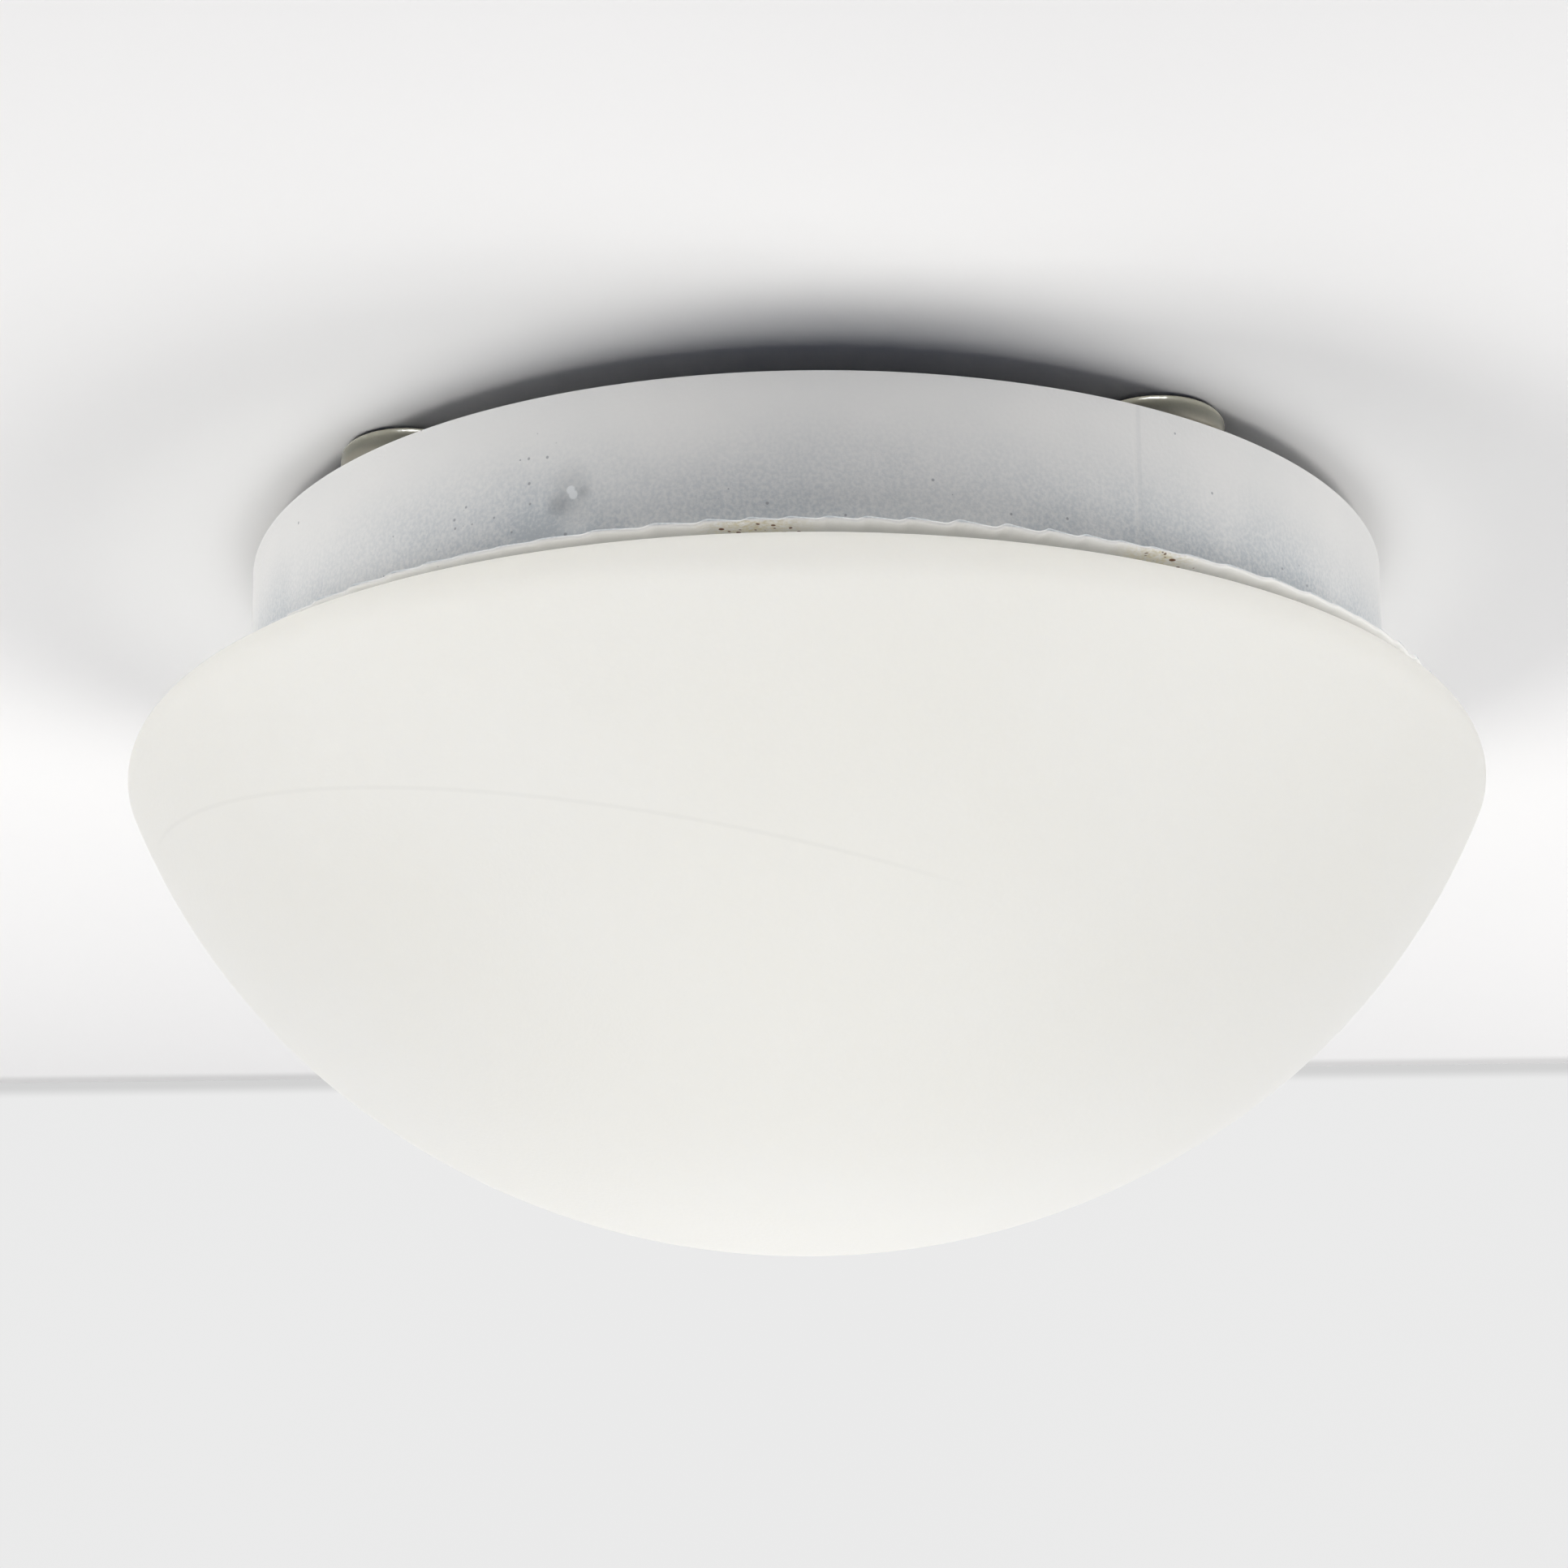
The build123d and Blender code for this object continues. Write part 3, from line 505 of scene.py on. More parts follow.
@dataclass(frozen=True)
class OpalGlass(Translucent):
    """Opal glass with a faint painted reflection, a darker line where a tilted plane cuts the shade on the
    viewer's left.
    """

    cut: Point = (0.192, -0.031, 0.981)  # square to that plane
    cut_at: float = -82.0 * MM  # the plane's distance from the origin
    line: Pair = (0.45 * MM, 0.09 * MM)  # half width, and that of the core
    right_end: Pair = (32.0 * MM, 5.0 * MM)  # along X
    far_end: Pair = (-15.0 * MM, -35.0 * MM)  # along Y
    faint: float = 0.08
    shaded: float = 0.6  # share of the glass's own tone in the painted reflection line

    def tone(self, ground: Ground, tone: Socket) -> Socket:
        """The drifting white with the faint painted reflection line.

        Args:
            ground: the finish's nodes.
            tone: the colour so far.

        Returns:
            The colour with the line.
        """
        # painted reflection: a faint darker line across the shade
        beside = ground.math("SUBTRACT", ground.along(self.cut), self.cut_at)
        line = ground.ramp(ground.math("ABSOLUTE", beside), *self.line)
        right = ground.ramp(ground.along(RIGHT), *self.right_end)
        near = ground.ramp(ground.along(BACK), *self.far_end)
        kept = ground.times(ground.times(right, near), self.faint)
        return ground.blend(ground.times(line, kept), tone, darker(self.colour, self.shaded))


@dataclass(frozen=True)
class Silicone(Translucent):
    """Cloudy silicone, with a painted glow on its lower edge and painted shade on its foot beside the face on
    the ceiling.
    """

    glow: Colour = (0.74, 0.69, 0.56)  # painted glow at the lower edge
    cloud: Pair = (0.3, 1.0)  # range of the glow
    foot_shade: Colour = (0.30, 0.29, 0.235)  # painted shade by the ceiling
    low: Pair = (-2.8 * MM, -5.0 * MM)  # heights of the glow's fade
    high: Pair = (-1.2 * MM, -0.3 * MM)  # heights where the painted shade begins
    face: Pair = (-0.1 * MM, -0.03 * MM)  # heights where the face begins

    def tone(self, ground: Ground, tone: Socket) -> Socket:
        """Painted glow below, the cloudy colour in the middle, painted shade on the foot above, and the plain
        colour on the face against the ceiling.

        Args:
            ground: the finish's nodes.
            tone: the colour so far.

        Returns:
            The colour by height.
        """
        height = ground.along(UP)
        cloud = ground.scaled(ground.broad, *self.cloud)
        # painted glow low on the side, painted shade on the foot by the ceiling, plain colour on the face
        # against it
        low = ground.blend(ground.times(ground.ramp(height, *self.low), cloud), tone, self.glow)
        side = ground.blend(ground.ramp(height, *self.high), low, self.foot_shade)
        return ground.blend(ground.ramp(height, *self.face), side, tone)


@dataclass(frozen=True)
class PowderCoat(Finish):
    """Textured white powder coat with mottling and painted shade that turn it darker and bluish towards the
    flange.
    """

    # bluish grey of the mottling, which also paints the shade that grows towards the flange
    mottle_and_shade: Colour = (0.55, 0.585, 0.605)
    broad_mottle: Pair = (0.6, 1.2)  # range over the slow noise
    fine_mottle: Pair = (0.6, 1.35)  # range over the grain
    crown: float = -9.0 * MM  # mottling and painted shade begin here
    skirt: float = -38.0 * MM  # and are fullest here
    underside: float = -36.5 * MM  # of the flange
    over: float = 0.3 * MM  # rise over which mottling and painted shade set in
    under: float = 0.2 * MM  # depth at which stains are full
    worn: Spot = Spot(on_ring(-30.0, BAND_RADIUS, -30.0), 24.0 * MM)  # patch with more mottling and specks
    worn_mottle: float = 0.18  # added to the mottling
    worn_share: float = 0.4  # added to the specks' share
    dimple_light: Spot = Spot(on_ring(-22.4, BAND_RADIUS, -28.2), 4.0 * MM, 1.5 * MM, 0.3)  # painted light on the dimple's lower side, under the painted highlight
    # Painted shade on the dimple's upper side: its colour and its spots
    dimple_shade_tone: Colour = (0.275, 0.2925, 0.3025)
    dimple_shades: tuple[Spot, ...] = (
        Spot(on_ring(-24.2, BAND_RADIUS, -25.6), 3.2 * MM, strength=0.42),
        Spot(on_ring(-21.6, BAND_RADIUS, -24.0), 1.9 * MM, strength=0.3),
        Spot(on_ring(-22.9, BAND_RADIUS, -22.8), 6.0 * MM, strength=0.24),
    )
    highlight_tone: Colour = (0.86, 0.88, 0.88)  # colour of the painted highlight above the dimple
    # Painted highlight at the top of the dimple, as two spots
    dimple_highlight: tuple[Spot, ...] = (
        Spot(on_ring(-22.85, BAND_RADIUS, -23.3), 0.95 * MM, 0.6 * MM, 0.9),
        Spot(on_ring(-22.6, BAND_RADIUS, -24.2), 0.95 * MM, 0.6 * MM, 0.9),
    )
    seam: float = 31.0  # degrees from the viewer
    seam_width: Pair = (0.7 * MM, 0.1 * MM)  # half width, and that of the core
    seam_out: Pair = (100.0 * MM, 104.0 * MM)  # only this far from the axis
    seam_foot: Pair = (-34.0 * MM, -27.0 * MM)  # heights of its fade
    seam_side: float = 0.4 * MM  # from its middle to either line
    # Painted highlight on one side of the seam and painted shade on the other
    seam_highlight: float = 0.35
    seam_shaded: float = 0.13
    seam_shade_tone: Colour = (0.4, 0.42, 0.44)  # colour of the painted shade line
    ridge: float = 1.5  # multiple of the grain's height
    speck: Colour = (0.13, 0.14, 0.17)
    speck_share: Pair = (0.012, 0.05)  # of cells, at the crown and at the skirt
    speck_strength: float = 0.55
    crease_shade_tone: Colour = (0.42, 0.42, 0.39)  # painted shade in the crease under the flange, by the glass
    # Inner edge, middle and outer edge of that ring, as radii
    ring: tuple[float, float, float] = (109.0 * MM, 112.2 * MM, 117.0 * MM)
    crease_shade: float = 0.5  # strength of that painted shade
    # Patches of rust under the flange
    rusty: tuple[Spot, ...] = (
        Spot(on_ring(-5.0, FLANGE_RADIUS, FLANGE_HEIGHT), 13.0 * MM),
        Spot(on_ring(29.5, FLANGE_RADIUS, FLANGE_HEIGHT), 10.0 * MM),
    )
    stain: Colour = (0.60, 0.53, 0.32)  # yellow, round the rust
    stain_strength: float = 0.8
    rust: Colour = (0.13, 0.055, 0.025)
    rust_share: float = 0.5  # greatest share of cells

    def tone(self, ground: Ground, tone: Socket) -> Socket:
        """Mottling with painted shade towards the flange, painted light and shade at the dimple and the seam,
        specks, and the underside's stains and painted crease shade over the drifting white.

        Args:
            ground: the finish's nodes.
            tone: the colour so far.

        Returns:
            The coat's colour.
        """
        height = ground.along(UP)
        upper = ground.ramp(height, self.underside, self.underside + self.over)
        under = ground.ramp(height, self.underside, self.underside - self.under)
        # grows from the crown down to the flange: painted shade under the flange's overhang, and a larger
        # share of specks
        shade_and_speck_fall = ground.times(ground.ramp(height, self.crown, self.skirt), upper)
        worn = ground.near(self.worn)
        mottled_shade_share = ground.times(shade_and_speck_fall, ground.scaled(ground.broad, *self.broad_mottle))
        mottled_shade_share = ground.math("ADD", mottled_shade_share, ground.times(worn, self.worn_mottle))
        mottled_shade_share = ground.times(mottled_shade_share, ground.scaled(ground.fine, *self.fine_mottle))
        # mix in the bluish grey: mottling, with painted shade strongest by the flange
        tone = ground.blend(ground.math("MINIMUM", mottled_shade_share, 1.0), tone, self.mottle_and_shade)
        tone = self.marked(ground, tone)
        share = ground.scaled(shade_and_speck_fall, *self.speck_share)
        share = ground.math("ADD", share, ground.times(worn, self.worn_share))
        specks = ground.dots(Scale=620.0, Share=share, Size=0.25)
        tone = ground.blend(ground.times(specks, self.speck_strength), tone, self.speck)
        return self.stained(ground, tone, under)

    def marked(self, ground: Ground, tone: Socket) -> Socket:
        """The tone with painted light, painted shade and a painted highlight at the dimple, and the seam's
        painted highlight and painted shade lines.

        Args:
            ground: the finish's nodes.
            tone: the colour so far.

        Returns:
            The marked colour.
        """
        # painted light below the dimple, painted shade above it and a painted highlight at its top
        tone = ground.blend(ground.near(self.dimple_light), tone, self.colour)
        for spot in self.dimple_shades:
            tone = ground.blend(ground.near(spot), tone, self.dimple_shade_tone)
        tone = ground.blend(ground.strongest([ground.near(spot) for spot in self.dimple_highlight]), tone, self.highlight_tone)
        # painted highlight line on one side of the seam, painted shade line on the other
        pale = ground.times(self.seam_line(ground, -self.seam_side), self.seam_highlight)
        shaded = ground.times(self.seam_line(ground, self.seam_side), self.seam_shaded)
        return ground.blend(shaded, ground.blend(pale, tone, self.colour), self.seam_shade_tone)

    def stained(self, ground: Ground, tone: Socket, under: Socket) -> Socket:
        """The tone with the painted crease shade, the yellow stains and the rust, kept to the underside.

        Args:
            ground: the finish's nodes.
            tone: the colour so far.
            under: mask of the underside.

        Returns:
            The stained colour.
        """
        # painted shade: a darker ring on the underside, in the crease by the glass
        inner, middle, outer = self.ring
        axis = (0.0, 0.0, self.underside)
        within = ground.near(Spot(axis, outer, middle))
        crease_shade = ground.math("SUBTRACT", within, ground.near(Spot(axis, middle, inner)))
        tone = ground.blend(ground.times(ground.times(crease_shade, under), self.crease_shade), tone, self.crease_shade_tone)
        rusty = ground.times(ground.strongest([ground.near(spot) for spot in self.rusty]), under)
        yellow = ground.times(rusty, ground.scaled(ground.fine, 0.0, self.stain_strength))
        tone = ground.blend(yellow, tone, self.stain)
        dots = ground.dots(Scale=700.0, Share=ground.times(rusty, self.rust_share), Size=0.45)
        return ground.blend(dots, tone, self.rust)

    def seam_line(self, ground: Ground, shift: float) -> Socket:
        """Upright line along the seam.

        Args:
            ground: the finish's nodes.
            shift: distance of the line from the seam's middle, positive towards +X.

        Returns:
            A mask: 1 on the line and 0 away from it.
        """
        out = facing(self.seam)
        beside = ground.math("SUBTRACT", ground.along((-out.y, out.x, 0.0)), shift)
        line = ground.ramp(ground.math("ABSOLUTE", beside), *self.seam_width)
        outer = ground.ramp(ground.along(tuple(out)), *self.seam_out)
        outer = ground.times(outer, ground.ramp(ground.along(UP), *self.seam_foot))
        return ground.times(line, outer)

    def height(self, ground: Ground) -> Socket:
        """Orange peel, with a low ridge at the seam."""
        ridge = ground.times(self.seam_line(ground, 0.0), self.ridge)
        return ground.math("ADD", ground.fine, ridge)


@dataclass(frozen=True)
class Striped(Finish):
    """Wire cover in two colours, which part along the wire."""

    stripe: Colour = (0.72, 0.55, 0.03)  # second colour
    middle: float = 58.0 * MM  # of the wire, along +Y
    soft: float = 0.1 * MM  # half width of the edge between the colours

    def tone(self, ground: Ground, tone: Socket) -> Socket:
        """One colour on each side of the wire."""
        side = ground.ramp(ground.along(BACK), self.middle - self.soft, self.middle + self.soft)
        return ground.blend(side, tone, self.stripe)


FINISHES: tuple[Finish, ...] = (
    PowderCoat("powder_coat", (0.88, 0.87, 0.84), (0.85, 0.845, 0.82), (0.42, 0.6), broad=45.0, fine=1500.0),
    OpalGlass(
        "opal_glass", (0.872, 0.858, 0.80), (0.862, 0.845, 0.777), (0.42, 0.5),
        broad=14.0, scatter=0.25, depth=3.0 * MM,
    ),
    Silicone(
        "silicone", (0.41, 0.40, 0.325), (0.33, 0.325, 0.265), (0.14, 0.22),
        transmission=0.45, broad=110.0, depth=4.0 * MM, ior=1.41,
    ),
    Finish("spring_steel", (0.42, 0.43, 0.45), (0.34, 0.36, 0.40), (0.28, 0.42), 1.0),
    Finish("zinc_steel", (0.64, 0.65, 0.66), (0.60, 0.59, 0.54), (0.28, 0.45), 1.0),
    Finish("porcelain", (0.84, 0.83, 0.79), (0.80, 0.79, 0.74), (0.18, 0.28), coat=0.7, fine=500.0),
    Finish("brass", (0.72, 0.52, 0.22), (0.60, 0.43, 0.19), (0.22, 0.38), 1.0),
    Finish("tinned_copper", (0.68, 0.67, 0.64), (0.60, 0.56, 0.50), (0.25, 0.4), 1.0),
    Translucent(
        "bulb_glass", (0.89, 0.885, 0.86), (0.86, 0.855, 0.83), (0.22, 0.32),
        broad=30.0, relief=0.003 * MM, dirt=0.0, scatter=0.3, depth=2.0 * MM,
    ),
    Finish("clear_glass", (0.93, 0.95, 0.95), (0.90, 0.93, 0.93), (0.03, 0.08), transmission=1.0, dirt=0.0),
    Finish("cap_metal", (0.76, 0.76, 0.75), (0.70, 0.70, 0.68), (0.28, 0.42), 1.0),
    Finish("black_glass", (0.02, 0.02, 0.023), (0.03, 0.03, 0.032), (0.08, 0.16)),
    Finish("solder", (0.58, 0.58, 0.58), (0.48, 0.48, 0.47), (0.4, 0.55), 1.0),
    Finish("filament_wire", (0.26, 0.26, 0.27), (0.20, 0.20, 0.21), (0.35, 0.5), 1.0),
    Finish("block_plastic", (0.80, 0.78, 0.72), (0.76, 0.74, 0.67), (0.35, 0.5), coat=0.1),
    Finish("live_cover", (0.085, 0.033, 0.014), (0.07, 0.028, 0.012), (0.3, 0.45)),
    Finish("neutral_cover", (0.02, 0.06, 0.27), (0.016, 0.05, 0.22), (0.3, 0.45)),
    Striped("earth_cover", (0.05, 0.22, 0.03), (0.04, 0.18, 0.025), (0.3, 0.45)),
    Finish("black_rubber", (0.02, 0.02, 0.02), (0.03, 0.03, 0.03), (0.55, 0.75)),
)


# The light's sub-assemblies


@dataclass
class Shade:
    """The opal glass shade: a profile of tangent arcs carried round the shade's own axis."""

    wall: float = 3.0 * MM  # thickness of the glass
    shoulder: float = 7.5 * MM  # radius of the rounded shoulder
    lean: float = 23.5  # of the flank at the shoulder, in degrees
    cap: float = 36.0  # half angle of the rounded bottom, in degrees
    neck_radius: float = 98.0 * MM  # outside
    neck_height: float = 18.0 * MM  # above the shoulder's top
    neck_fillet: float = 3.0 * MM  # radius where the neck meets the shoulder
    bead: Pair = (4.0 * MM, 1.8 * MM)  # height and reach
    rim_rise: float = 0.8 * MM  # over the neck's top
    pole: float = 0.4  # angle left to the fan at the bottom, in degrees
    columns: int = 480

    def profile(self, radius: float, bottom: float, top: float) -> np.ndarray:
        """Outer curve from the bottom up to the neck's top, then the inner curve back down.

        The flank's arc and the cap's arc follow from the radius, the depth and the two angles, so
        that cap, flank and shoulder are tangent. The inner wall shares their centres.

        Args:
            radius: greatest radius of the glass.
            bottom: height of its lowest point.
            top: height of the neck's top.

        Returns:
            Rows of distance and height.
        """
        ledge = top - self.neck_height
        widest = ledge - self.shoulder
        reach_in = radius - self.shoulder
        half = tan(radians(self.cap) / 2)
        lean = radians(self.lean)
        run = (widest - bottom - self.shoulder - reach_in * half) / (1 - sin(lean) - cos(lean) * half)
        flank = (reach_in - run * cos(lean), widest + run * sin(lean))
        flank_radius = run + self.shoulder
        cap_radius = flank_radius + flank[0] / sin(radians(self.cap))
        cap_centre = (0.0, bottom + cap_radius)
        corner = (self.neck_radius + self.neck_fillet, ledge + self.neck_fillet)
        shoulder_centre = (reach_in, widest)
        inside = self.neck_radius - self.wall
        join = self.cap - 90
        tip = self.pole - 90
        outer = [
            arc(cap_centre, cap_radius, tip, join, 28),
            arc(flank, flank_radius, join, -self.lean, 30)[1:],
            arc(shoulder_centre, self.shoulder, -self.lean, 90, 26)[1:],
            straight((reach_in, ledge), (corner[0], ledge), 4),
            arc(corner, self.neck_fillet, -90, -180, 7),
            straight((self.neck_radius, corner[1]), (self.neck_radius, top - self.bead[0]), 3),
            bow(self.bead[0], self.bead[1], (self.neck_radius, top - self.bead[0] / 2), 0.0, 11),
            bow(self.wall, self.rim_rise, (self.neck_radius - self.wall / 2, top), 90.0, 7)[1:],
        ]
        inner = [
            straight((inside, top), (inside, corner[1]), 3),
            arc(corner, self.neck_fillet + self.wall, 180, 270, 9),
            straight((corner[0], ledge - self.wall), (reach_in, ledge - self.wall), 3),
            arc(shoulder_centre, self.shoulder - self.wall, 90, -self.lean, 12),
            arc(flank, flank_radius - self.wall, -self.lean, join, 18)[1:],
            arc(cap_centre, cap_radius - self.wall, join, tip, 16)[1:],
        ]
        return np.vstack(outer + inner)

    def build(self, material: Material) -> Piece:
        """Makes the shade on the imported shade's own axis and levels.

        Args:
            material: the opal glass.

        Returns:
            The piece.
        """
        low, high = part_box("glass_shade")
        profile = self.profile((high.x - low.x) / 2, low.z, high.z - self.rim_rise)
        piece = ring_mesh("opal_shade", turned(profile, self.columns, (low + high) / 2), False)
        return stand_in(piece, Body.SHADE, "glass_shade", material)


@dataclass
class Drum:
    """The rolled drum wall: lip, upright band with dimples, and a flange with a wavy edge."""

    sheet: float = 0.8 * MM  # thickness of the steel
    lip: float = 7.0 * MM  # width of the lip under the back plate
    lip_bend: float = 1.3 * MM  # outer radius of the bend at the crown
    flange_bend: float = 1.0 * MM  # upper radius of the bend at the flange
    skin: float = 0.1 * MM  # coat over the back plate's edge
    skin_gap: float = 0.02 * MM  # between that coat and the plate
    dimples: tuple[float, ...] = (-22.3, 97.7, 217.7)  # degrees from the viewer
    dimple_rise: float = 9.2 * MM  # above the flange's underside
    dimple_depth: float = 0.55 * MM
    dimple_spread: float = 2.9 * MM
    dimple_edge: int = 4  # power that steepens its edge
    wave_count: int = 96  # waves round the flange's edge
    wave_up: float = 0.40 * MM  # height of the waves
    wave_out: float = 0.36 * MM  # reach of the waves
    wave_growth: float = 1.5  # power by which they grow from the bend to the edge
    out_phase: float = 0.9  # phase of the reach against the height
    # Size, count and phase of each slow wave that shifts the waves' phase
    wander: tuple[tuple[float, int, float], ...] = ((2.2, 5, 0.6), (1.4, 13, 2.0))
    swell: Pair = (0.6, 0.4)  # mean and variation of the waves' strength
    # Count and phase of the slow waves whose product varies it
    swell_waves: tuple[tuple[int, float], ...] = ((9, 1.1), (4, 0.3))
    overtones: tuple[int, ...] = (1, 2, 3)  # multiples of the waves' phase that are added up
    peak: float = 1.4  # about the greatest value of that sum
    columns: int = 1080

    def profile(self, wall: float, rim: float, top: float, crown: float, skirt: float) -> np.ndarray:
        """Closed section of the sheet: over the plate's edge, down the outside, and back inside.

        Args:
            wall: outer radius of the upright band.
            rim: radius of the flange.
            top: height of the back plate's upper face.
            crown: height of the lip's upper face.
            skirt: height of the flange's underside.

        Returns:
            Rows of distance and height.
        """
        thick = self.sheet
        upper = skirt + thick
        inner = wall - thick
        lip_edge = wall - thick / 2 - self.lip
        bend = self.flange_bend
        edge = wall + self.skin_gap
        round_edge = (self.skin - self.skin_gap) / 2
        lip_centre = (wall - self.lip_bend, crown - self.lip_bend)
        rows = [
            np.array([[lip_edge, crown], [edge, crown]]),
            arc((edge + round_edge, top - round_edge), round_edge, 180, 0, 5),
            straight((wall + self.skin, top), (wall, crown - 2 * self.lip_bend), 4),
            straight((wall, crown - 2 * self.lip_bend), (wall, upper + bend), 26),
            arc((wall + bend, upper + bend), bend, 180, 270, 6),
            straight((wall + bend, upper), (rim - thick / 2, upper), 6),
            arc((rim - thick / 2, upper - thick / 2), thick / 2, 90, -90, 7),
            straight((rim - thick / 2, skirt), (wall + bend, skirt), 7),
            arc((wall + bend, upper + bend), bend + thick, 270, 180, 6),
            straight((inner, upper + bend), (inner, lip_centre[1]), 12),
            arc(lip_centre, self.lip_bend - thick, 0, 90, 4),
            np.array([[lip_edge, crown - thick]]),
        ]
        return np.vstack(rows)

    def ripple(self, turn: np.ndarray, shift: float) -> np.ndarray:
        """Uneven saw-like waves: sum of sin(k p) / k over the overtones k, with a wandering phase p.

        Args:
            turn: angles round the axis, in radians.
            shift: constant phase.

        Returns:
            The waves, about -1 to 1.
        """
        phase = self.wave_count * turn
        for size, count, start in self.wander:
            phase = phase + size * np.sin(count * turn + start)
        phase = phase + shift
        mean, swell = self.swell
        for count, start in self.swell_waves:
            swell = swell * np.sin(count * turn + start)
        return (mean + swell) * sum(np.sin(k * phase) / k for k in self.overtones) / self.peak

    def shaped(self, points: np.ndarray, wall: float, rim: float, skirt: float) -> np.ndarray:
        """Presses the dimples into the band and waves the flange.

        A dimple moves the wall inwards by depth * exp(-(d / spread)**edge), with d the distance from
        its middle along the wall. The flange's waves grow from the bend to the edge.

        Args:
            points: grid of the plain wall.
            wall: outer radius of the upright band.
            rim: radius of the flange.
            skirt: height of the flange's underside.

        Returns:
            The shaped grid.
        """
        x, y, z = points[..., 0], points[..., 1], points[..., 2]
        distance = np.hypot(x, y)
        turn = np.arctan2(y, x)
        push = np.zeros_like(distance)
        on_band = (distance < wall + self.flange_bend) & (distance > wall - 2 * self.sheet)
        for angle in self.dimples:
            middle = facing(angle)
            apart = np.angle(np.exp(1j * (turn - np.arctan2(middle.y, middle.x)))) * wall
            away = np.hypot(apart, z - skirt - self.dimple_rise) / self.dimple_spread
            push -= self.dimple_depth * np.exp(-(away**self.dimple_edge)) * on_band
        reach = rim - wall - self.flange_bend
        share = np.clip((distance - wall - self.flange_bend) / reach, 0.0, 1.0) ** self.wave_growth
        outwards = self.wave_out * (self.ripple(turn, self.out_phase) - 1.0)
        stretch = (distance + push + share * outwards) / distance
        lift = self.wave_up * self.ripple(turn, 0.0)
        return np.stack([x * stretch, y * stretch, z + share * lift], axis=-1)

    def build(self, material: Material) -> Piece:
        """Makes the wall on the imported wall's own levels.

        Args:
            material: the powder coat.

        Returns:
            The piece.
        """
        low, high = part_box("drum_wall")
        plate_low, plate_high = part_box("back_plate")
        wall = (plate_high.x - plate_low.x) / 2
        rim = (high.x - low.x) / 2
        profile = self.profile(wall, rim, plate_high.z, high.z, low.z)
        plain = turned(profile, self.columns, Vector((0.0, 0.0, 0.0)))
        piece = ring_mesh("drum_shell", self.shaped(plain, wall, rim, low.z), True)
        return stand_in(piece, Body.PAN, "drum_wall", material)


@dataclass
class Pads:
    """The silicone stand-off pads: low discs with rounded edges and sides that bulge a little."""

    count: int = 4
    edge: float = 2.2 * MM  # radius of the rounded edges
    bulge: float = 0.25 * MM  # how far the sides bulge
    pole: float = 0.4 * MM  # radius left open for the fan at the middle of each face
    columns: int = 96

    def pad(self, number: int, material: Material) -> Piece:
        """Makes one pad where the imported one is; its side is moved out by bulge * (1 - h**2).

        Args:
            number: the pad's number.
            material: the silicone.

        Returns:
            The piece.
        """
        node = f"spacer_pad_{number}"
        low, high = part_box(node)
        middle = (low + high) / 2
        inner = (high.x - low.x) / 2 - self.bulge - self.edge
        rows = [
            np.array([[self.pole, low.z], [inner / 2, low.z]]),
            arc((inner, low.z + self.edge), self.edge, -90, 0, 10),
            arc((inner, high.z - self.edge), self.edge, 0, 90, 10),
            np.array([[inner / 2, high.z], [self.pole, high.z]]),
        ]
        profile = np.vstack(rows)
        share = (profile[:, 1] - middle.z) / (high.z - middle.z)
        profile[:, 0] += self.bulge * (1.0 - share**2) * (profile[:, 0] > inner)
        piece = ring_mesh(f"soft_pad_{number}", turned(profile, self.columns, middle), False)
        return stand_in(piece, Body.PAN, node, material)

    def build(self, material: Material) -> list[Piece]:
        """Makes every pad; returns the pieces."""
        return [self.pad(number, material) for number in range(1, self.count + 1)]


@dataclass
class Light:
    """The whole light: its finishes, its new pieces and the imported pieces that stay."""

    shade: Shade = field(default_factory=Shade)
    drum: Drum = field(default_factory=Drum)
    pads: Pads = field(default_factory=Pads)
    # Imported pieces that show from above
    crown_nodes: tuple[str, ...] = (
        "back_plate", "cable_grommet", "earth_nut", "earth_screw", "bracket_rivets", "terminal_fixing",
    )

    def build(self) -> Targets:
        """Makes the new pieces and dresses every packed one with its slot's finish.

        Returns:
            The shown pieces by what a lamp may reach.
        """
        groups = [grain_group(), speck_group()]
        materials = {finish.name: finish.material(groups) for finish in FINISHES}
        for node, slot in SLOTS.items():
            dress(frame["nodes"][node], materials[slot])
            LOG.info("%s dressed in %s", node, slot)
        shade = self.shade.build(materials["opal_glass"])
        drum = self.drum.build(materials["powder_coat"])
        pads = self.pads.build(materials["silicone"])
        crown = [frame["nodes"][node] for node in self.crown_nodes]
        return {
            Reach.LIGHT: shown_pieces(),
            Reach.PAN: [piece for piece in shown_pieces() if piece is not shade],
            Reach.INSIDE: [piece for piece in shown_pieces() if piece not in (shade, drum, *pads, *crown)],
            Reach.PADS: pads,
            Reach.DRUM: [drum],
            Reach.SHADE: [shade],
            Reach.CROWN: [*crown, drum],
        }


# Stage, lamps and camera


